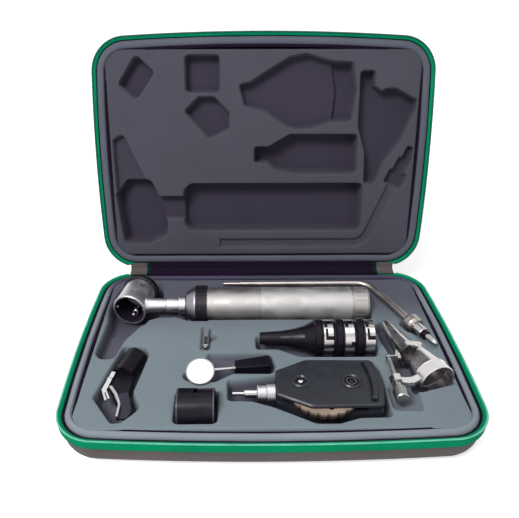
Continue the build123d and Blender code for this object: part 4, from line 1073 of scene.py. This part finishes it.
    def build_binding(self) -> None:
        """Model the binding that holds the hinge gusset inside the shell's back edge."""
        columns, points = 80, []
        section = [(-1.95, -4.6), (-1.85, -2.2), (-1.5, -0.8), (-0.9, -0.75), (-0.6, -2.4), (-0.5, -4.6)]
        section = rounded([(RIM.rear + v, n) for v, n in section])
        for x in np.linspace(-self.tape_gap, self.tape_gap, columns):
            sway = 0.04 * math.sin(x * 0.19) + 0.03 * math.sin(x * 0.61 + 1)
            points += [(x, self.half.back * (v + sway * 0.4), n + (sway if n > -4 else 0.0)) for v, n in section]
        faces = ring_faces(columns, len(section), False, True, capped=True)
        self.fit("gusset_binding", self.half.place(np.array(points)), faces, GUSSET_CLOTH, "shell_fabric")

    def build(self) -> None:
        """Model and dress the whole half."""
        self.build_shell()
        self.build_lining()
        self.build_groove_shades()
        self.build_foam()
        self.build_tape()
        self.build_coil()
        self.build_stitches()
        self.build_binding()


@dataclass
class HingeWeb:
    """The cloth hinge: a dark gusset with shell cloth at its ends and the zip's ends crossing it; in mm."""

    base: HalfFrame
    lid: HalfFrame
    wardrobe: Wardrobe
    reach: float = 122.0
    gusset_reach: float = 106.5
    tape_width: float = 2.9
    thickness: float = 0.45
    bend_from: tuple[float, float] = (101.6, -0.6)

    def section(self, lift: float) -> np.ndarray:
        """The web's line across the hinge, in row metres.

        Args:
            lift: Distance that the line stands out from the web's middle, in mm.

        Returns:
            Points from the base's rim to the lid's.
        """
        line = ((97.9, -0.75), (99.6, -0.75), (101.4, -0.7), (102.8, -0.55))
        run = [(0.0, v, n + lift) for v, n in line]
        corners = np.vstack((self.base.place(run), self.lid.place([(0.0, -v, n) for _, v, n in reversed(run)])))
        last, fine = len(corners) - 1, []
        for i in range(last):
            near = [corners[min(max(i + k - 1, 0), last)] for k in range(4)]
            fine += [spline(near, step / 5) for step in range(5)]
        return np.array(fine + [corners[last]])

    def strip(
        self, name: str, edges: tuple[float, float], lift: float, columns: int, finish: Finish, slot: str, *nodes: str,
        rib: float = 0.0,
    ) -> None:
        """Make one strip of the web, bent between base and lid.

        Args:
            name: Piece name.
            edges: Its two ends along the hinge, in either order.
            lift: How far it stands out from the web's middle.
            columns: Points along it.
            finish: Its finish.
            slot: Its material slot in the record.
            *nodes: The nodes that it replaces.
            rib: Height of ribs across it.
        """
        upper, lower = self.section(lift + self.thickness), self.section(lift - self.thickness)
        loop = np.vstack((upper, lower[::-1]))
        points = []
        for x in np.linspace(min(edges), max(edges), columns):
            sway = 0.05 * math.sin(x * 0.21) + 0.04 * math.sin(x * 0.057 + 2)
            ribbing = rib * math.cos(x * 2 * math.pi / 1.4)
            for k, p in enumerate(loop):
                inside = math.sin(math.pi * min(k, len(loop) - 1 - k) / (len(upper) - 1))
                points.append((x * MM, p[1] + (sway + ribbing) * MM * inside, p[2]))
        piece = new_piece(name, np.array(points), ring_faces(columns, len(loop), False, True, capped=True))
        v, n = self.bend_from
        start = self.base.place([(0.0, v, n)])[0]
        end = self.lid.place([(0.0, -v, n)])[0]
        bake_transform(piece)
        self.wardrobe.fit(piece, finish, slot, None, *nodes)

    def build(self) -> None:
        """Model and dress the web."""
        gusset = self.gusset_reach
        nodes = ("hinge_web_base", "hinge_web_lid")
        self.strip("hinge_gusset", (-gusset, gusset), 0.0, 90, GUSSET_CLOTH, "shell_fabric", *nodes)
        for side, sign in (("left", -1), ("right", 1)):
            edges = (sign * (gusset + 0.1), sign * self.reach)
            self.strip(f"hinge_end_{side}", edges, 0.05, 10, SHELL_CLOTH, "shell_fabric")
            # painted shade: the zip's crossing ends get the darker copy of the tape's green
            edges = (sign * (gusset - self.tape_width), sign * (gusset + 0.3))
            self.strip(f"zip_crossing_{side}", edges, 0.35, 16, SHADED_CROSSING_CLOTH, "zip_tape", rib=0.12)


# ------------------------------------------------------------------ instruments
@dataclass
class Instrument:
    """An instrument whose solids stay: the finish of each of its nodes."""

    title: str
    finishes: dict[Finish, tuple[str, ...]]

    def dress(self, wardrobe: Wardrobe) -> None:
        """Dress and smooth its nodes.

        Args:
            wardrobe: Where its materials come from.
        """
        for finish, nodes in self.finishes.items():
            for node in nodes:
                piece = frame["nodes"][node]
                wardrobe.dress(piece, finish)
                piece.data.polygons.foreach_set("use_smooth", [True] * len(piece.data.polygons))
        LOG.info("%s: %d finishes", self.title, len(self.finishes))


INSTRUMENTS = (
    Instrument("zip sliders", {ZIP_METAL: ("zip_slider_left", "zip_slider_right", "zip_pull_left", "zip_pull_right")}),
    Instrument("battery handle", {
        SMOKED_CHROME: ("handle_shoulder",),
        PALE_CHROME: ("handle_coupling",),
        TURNED_BARREL: ("handle_barrel", "end_cap"),
        BLASTED_GRIP: ("handle_grip",),
        RING_PLASTIC: ("rheostat_ring",),
        CELL_JACKET: ("battery_cells",),
        CHROME: ("contact_spring",),
    }),
    Instrument("otoscope head", {
        PALE_CHROME: ("head_shell",),
        BRIGHT_CHROME: ("head_lamp",),
        RING_PLASTIC: ("lens_ring",),
        LENS_GLASS: ("magnifier_lens",),
    }),
    Instrument("illuminator", {
        ARM_STEEL: ("arm_tube", "arm_tip", "arm_collar"),
        CHROME: ("arm_plug", "arm_contact"),
        BLACK_PLASTIC: ("arm_insulator",),
    }),
    Instrument("ear specula", {
        BLACK_PLASTIC: ("speculum_wide", "speculum_medium", "speculum_narrow"),
        RING_STEEL: ("specula_rings",),
    }),
    Instrument("ophthalmoscope", {
        SCOPE_PLASTIC: ("scope_back", "scope_face", "brow_rest", "window_rings"),
        IVORY_PLASTIC: ("lens_wheel",),
        DARK_GLASS: ("window_lenses",),
        SATIN_CHROME: ("scope_collar",),
        CHROME: ("scope_contact",),
    }),
    Instrument("nasal speculum", {
        SPECULUM_STEEL: ("nasal_body", "nasal_blade"),
        KNURLED_STEEL: ("nasal_screw", "nasal_knob"),
    }),
    Instrument("throat mirror", {
        CHROME: ("mirror_frame",),
        MIRROR_SILVER: ("mirror_glass",),
        BLACK_PLASTIC: ("mirror_sleeve",),
    }),
    Instrument("adaptor barrel", {BLACK_PLASTIC: ("adaptor_barrel",)}),
    Instrument("tongue-blade holder", {
        BLACK_PLASTIC: ("holder_barrel",),
        BLADE_STEEL: ("holder_blade",),
        BRIGHT_CHROME: ("holder_clamp",),
    }),
    Instrument("spare bulb", {RING_STEEL: ("bulb_base",), BULB_GLASS: ("bulb_glass",)}),
)


# ------------------------------------------------------------------ turned details
@dataclass(frozen=True)
class Spindle:
    """A line that details are turned round: the body and slot it belongs to, its start in mm and its direction."""

    body: str
    slot: str
    start: Colour
    direction: Colour

    def turned(self, name: str, profile: Profile, sweep: tuple[float, float]) -> Piece:
        """Turn a closed profile round the line.

        Args:
            name: Piece name.
            profile: Points of distance along the line and radius, in mm.
            sweep: Start and end angle from the upward direction, toward the direction aside.

        Returns:
            The piece.
        """
        run = np.array(self.direction, float)
        run /= np.linalg.norm(run)
        aside = np.cross((0.0, 0.0, 1.0), run) if abs(run[2]) < 0.95 else np.array((1.0, 0.0, 0.0))
        aside /= np.linalg.norm(aside)
        up = np.cross(run, aside)
        turn = sweep[1] - sweep[0]
        whole, steps = turn >= 360.0, max(4, int(turn / 6.0))
        points = []
        for angle in np.radians(np.linspace(*sweep, steps, endpoint=not whole)):
            spoke = up * math.cos(angle) + aside * math.sin(angle)
            points += [(np.array(self.start) + run * s + spoke * r) * MM for s, r in profile]
        faces = ring_faces(steps, len(profile), whole, True, capped=not whole)
        return new_piece(name, np.array(points), faces, False)


@dataclass(frozen=True)
class Detail:
    """A turned detail that is fitted on an instrument."""

    name: str
    finish: Finish
    spindle: Spindle
    profile: Profile
    sweep: tuple[float, float] = (0.0, 360.0)

    def build(self, wardrobe: Wardrobe) -> None:
        """Model the detail and fit it out."""
        piece = self.spindle.turned(self.name, self.profile, self.sweep)
        wardrobe.fit(piece, self.finish, self.spindle.slot, self.spindle.body)


HEAD_LINE = Spindle("otoscope", "black_plastic", (-113.4, 37.9, 32.0), (0.2079, 0.9781, 0.0))
SPECULA_LINE = Spindle("specula", "black_plastic", (36.0, -1.5, 33.0), (1.0, 0.0, 0.0))
MIRROR_LINE = Spindle("throat_mirror", "chrome", (-50.1, -40.4, 34.2), (0.0, -0.3827, 0.9239))
STEM_LINE = Spindle("throat_mirror", "chrome", (-40.7, -38.0, 33.6), (18.2, 7.8, -5.2))
NASAL_LINE = Spindle("nasal_speculum", "chrome", (118.4, -49.0, 31.0), (-0.2957, 0.9553, 0.0))
BARREL_LINE = Spindle("adaptor", "black_plastic", (-51.5, -70.0, 28.0), (1.0, 0.0, 0.0))
LIGHT_LINE = Spindle("ophthalmoscope", "glass", (20.3, -54.6, 37.2), (0.0, 0.0, 1.0))
SIGHT_LINE = Spindle("ophthalmoscope", "black_plastic", (55.7, -54.6, 37.2), (0.0, 0.0, 1.0))


def rib(at: float, foot: float, top: float, half: float) -> Profile:
    """A low rounded rib's profile, from its middle along the line, radius at foot and top, and half of its width."""
    return [(at - half, foot), (at - half * 0.9, top - 0.15), (at - half * 0.5, top), (at + half * 0.5, top),
            (at + half * 0.9, top - 0.15), (at + half, foot)]


def patch(start: float, end: float, radius: float) -> Profile:
    """A thin sheet's profile between two places along a line, on a surface of a radius round it; it carries painted
    slot shade.
    """
    return [(start, radius - 0.1), (start, radius + 0.03), (end, radius + 0.03), (end, radius - 0.1)]


def details() -> list[Detail]:
    """The turned details of all the instruments.

    Returns:
        The details.
    """
    bent = {"run": (9.2, 13.45, -58, -46), "turn": (7.6, 9.4, -58, -22)}
    short = {"run": (10.8, 13.45, -76, -64)}
    made = []
    for size, pitch, cuts in (("wide", 0.0, bent), ("medium", 16.0, short), ("narrow", 31.5, bent)):
        for k, at in enumerate((0.95, 2.3, 3.65)):
            ridge = rib(pitch + at, 14.5, 15.2, 0.5)
            made.append(Detail(f"grip_rib_{size}_{k + 1}", BLACK_PLASTIC, SPECULA_LINE, ridge))
        made.append(Detail(f"collar_rib_{size}", BLACK_PLASTIC, SPECULA_LINE, rib(pitch + 5.5, 13.9, 14.75, 0.8)))
        # painted shade: thin near-black sheets on the rings stand in for the bayonet slots' shadowed depth
        for part, (start, end, low, high) in cuts.items():
            profile = patch(pitch + start, pitch + end, 14.1)
            made.append(Detail(f"bayonet_{part}_{size}", SLOT_SHADE_PAINT, SPECULA_LINE, profile, (low, high)))
    return made + [
        # painted shade: a near-black sleeve inside the head's bore
        Detail("head_shade_liner", HEAD_SHADE_PAINT, HEAD_LINE, [(0.5, 12.58), (23.9, 12.58), (23.9, 12.32), (0.7, 12.32)]),
        # painted shade: thin near-black sheets on the head stand in for its vents
        Detail("head_vent_1", SLOT_SHADE_PAINT, HEAD_LINE, patch(18.5, 22.5, 13.8), (-30, -25.5)),
        Detail("head_vent_2", SLOT_SHADE_PAINT, HEAD_LINE, patch(18.5, 22.5, 13.8), (-21, -16.5)),
        # painted highlight: the adaptor barrel's end ribs get the lighter plastic
        Detail("adaptor_edge_left", EDGE_HIGHLIGHT_PLASTIC, BARREL_LINE, rib(-12.15, 13.0, 13.38, 0.55)),
        Detail("adaptor_edge_right", EDGE_HIGHLIGHT_PLASTIC, BARREL_LINE, rib(12.15, 13.0, 13.38, 0.55)),
        Detail("mirror_bezel", BEZEL_STEEL, MIRROR_LINE,
               [(-0.9, 10.2), (-0.5, 10.5), (0.5, 10.5), (0.85, 10.2), (0.85, 9.75), (0.45, 9.3), (0.3, 9.5)]),
        Detail("mirror_stem_tube", BRIGHT_CHROME, STEM_LINE, [(0.4, 0.96), (0.4, 1.3), (16.2, 1.3), (16.2, 0.96)]),
        Detail("mirror_ferrule", CHROME, STEM_LINE, [(14.6, 1.25), (14.8, 1.75), (17.0, 1.85), (17.2, 1.25)]),
        Detail("nasal_lip", SPECULUM_STEEL, NASAL_LINE,
               [(0.1, 12.35), (-0.35, 12.6), (-0.35, 13.1), (0.0, 13.45), (1.3, 13.45), (1.7, 13.15)]),
        Detail("nasal_bead", SPECULUM_STEEL, NASAL_LINE, [(8.2, 13.1), (8.5, 13.45), (9.2, 13.45), (9.6, 12.5)]),
        Detail("light_window_dome", BLACK_PLASTIC, LIGHT_LINE,
               [(-1.2, 0.05), (-1.2, 3.85), (-0.3, 3.85), (0.2, 3.0), (0.5, 1.6), (0.5, 0.05)]),
        Detail("light_window_lens", BRIGHT_CHROME, LIGHT_LINE,
               [(0.2, 0.05), (0.2, 1.9), (0.6, 1.8), (0.95, 1.1), (1.05, 0.05)]),
        Detail("sight_window_step", CHROME, SIGHT_LINE, [(-0.3, 3.0), (0.25, 3.1), (0.25, 3.5), (-0.3, 3.6)]),
        # painted shade: a near-black disc stands in for the sight window's shadowed opening
        Detail("sight_window_well", SLOT_SHADE_PAINT, SIGHT_LINE, [(-0.6, 0.05), (-0.6, 4.5), (-0.05, 4.5), (-0.12, 0.05)]),
    ]


# ------------------------------------------------------------------ studio
@dataclass(frozen=True)
class Lamp:
    """A soft area lamp, aimed at the case."""

    name: str
    place: Colour
    size: float
    power: float
    aim: Colour = (0.0, 0.03, 0.06)

    def hang(self) -> None:
        """Add the lamp to the scene."""
        data = bpy.data.lights.new(self.name, "AREA")
        data.shape = "DISK"
        data.size = self.size
        data.energy = self.power
        lamp = bpy.data.objects.new(self.name, data)
        lamp.location = self.place
        lamp.rotation_euler = (Vector(self.aim) - Vector(self.place)).to_track_quat("-Z", "Y").to_euler()
        bpy.context.scene.collection.objects.link(lamp)


@dataclass
class Studio:
    """Camera, lamps, backdrop and a pale floor with a painted glow."""

    eye: Colour = (-0.02313, -0.35767, 0.31540)
    yaw: float = 0.468
    pitch: float = 30.584
    lens: float = 40.26
    shift: tuple[float, float] = (0.0350, -0.0007)
    floor_half: float = 3.0
    sky: float = 0.24
    glow_near: float = 0.62

    def set_camera(self) -> None:
        """Place the camera."""
        data = bpy.data.cameras.new("camera")
        data.sensor_width = 36.0
        data.lens = self.lens
        data.shift_x, data.shift_y = self.shift
        data.clip_start, data.clip_end = 0.01, 20.0
        camera = bpy.data.objects.new("camera", data)
        camera.location = self.eye
        camera.rotation_euler = (math.radians(90 - self.pitch), 0.0, -math.radians(self.yaw))
        bpy.context.scene.collection.objects.link(camera)
        bpy.context.scene.camera = camera

    def set_world(self) -> None:
        """Make the world white where it is seen and a soft grey where it lights."""
        world = bpy.data.worlds.new("studio")
        world.use_nodes = True
        tree = world.node_tree
        soft = tree.nodes["Background"]
        soft.inputs["Color"].default_value = (0.95, 0.97, 1.0, 1.0)
        soft.inputs["Strength"].default_value = self.sky
        seen = add_node(tree, "Background", {"Color": (1.0, 1.0, 1.0, 1.0)})
        mix = add_node(tree, "MixShader", {0: seen_straight(tree), 1: soft.outputs[0], 2: seen.outputs[0]})
        tree.links.new(mix.outputs[0], tree.nodes["World Output"].inputs["Surface"])
        bpy.context.scene.world = world

    def lay_floor(self) -> None:
        """Lay the pale floor, with a painted glow for rays that see it straight, weaker near the case."""
        half = self.floor_half
        corners = np.array([(-half, -half, 0.0), (half, -half, 0.0), (half, half, 0.0), (-half, half, 0.0)])
        floor = new_piece("floor", corners, [(0, 1, 2, 3)], False)
        draft = ShaderDraft("floor_paper", Roughness=0.9, Specular_IOR_Level=0.1, Emission_Color=(1.0, 1.0, 1.0))
        draft.colour(draft.mottled(draft.noise(0.5), (0.9, 0.9, 0.9), 1.0, 0.92 / 0.9))
        away = draft.node("VectorMath", {0: draft.place}, operation="LENGTH").outputs["Value"]
        inputs = {"Value": away, "From Min": 0.22, "From Max": 0.75, "To Min": self.glow_near, "To Max": 1.0}
        far = draft.node("MapRange", inputs, interpolation_type="SMOOTHSTEP").outputs["Result"]
        glow = draft.node("Math", {0: seen_straight(draft.tree), 1: far}, operation="MULTIPLY")
        draft.feed(glow.outputs[0], "Emission Strength")
        floor.data.materials.append(draft.material)

    def set_up(self) -> None:
        """Set up everything round the case."""
        self.set_camera()
        self.set_world()
        self.lay_floor()
        Lamp("key_softbox", (-0.42, -0.62, 0.95), 0.42, 12.0, (0.0, -0.05, 0.02)).hang()
        Lamp("overhead_softbox", (0.15, -0.1, 1.2), 0.7, 2.6).hang()
        Lamp("front_fill", (0.5, -1.0, 0.6), 0.8, 1.2).hang()
        bpy.context.scene.view_settings.view_transform = "Standard"


def main() -> None:
    """Build the case and its instruments in order."""
    logging.basicConfig(level=logging.INFO, format="%(name)s: %(message)s")
    Studio().set_up()
    wardrobe = Wardrobe()
    base, lid = half_frames()
    CaseHalf(base, wardrobe, LINING_CLOTH, BASE_FOAM_CLOTH, COIL_NYLON, -6.0, 3.4, -1.35, -8.9).build()
    CaseHalf(lid, wardrobe, SHADED_LID_LINING_CLOTH, SHADED_LID_FOAM_CLOTH, SHADED_COIL_NYLON, 11.0).build()
    HingeWeb(base, lid, wardrobe).build()
    for instrument in INSTRUMENTS:
        instrument.dress(wardrobe)
    for detail in details():
        detail.build(wardrobe)


if __name__ == "__main__":
    main()
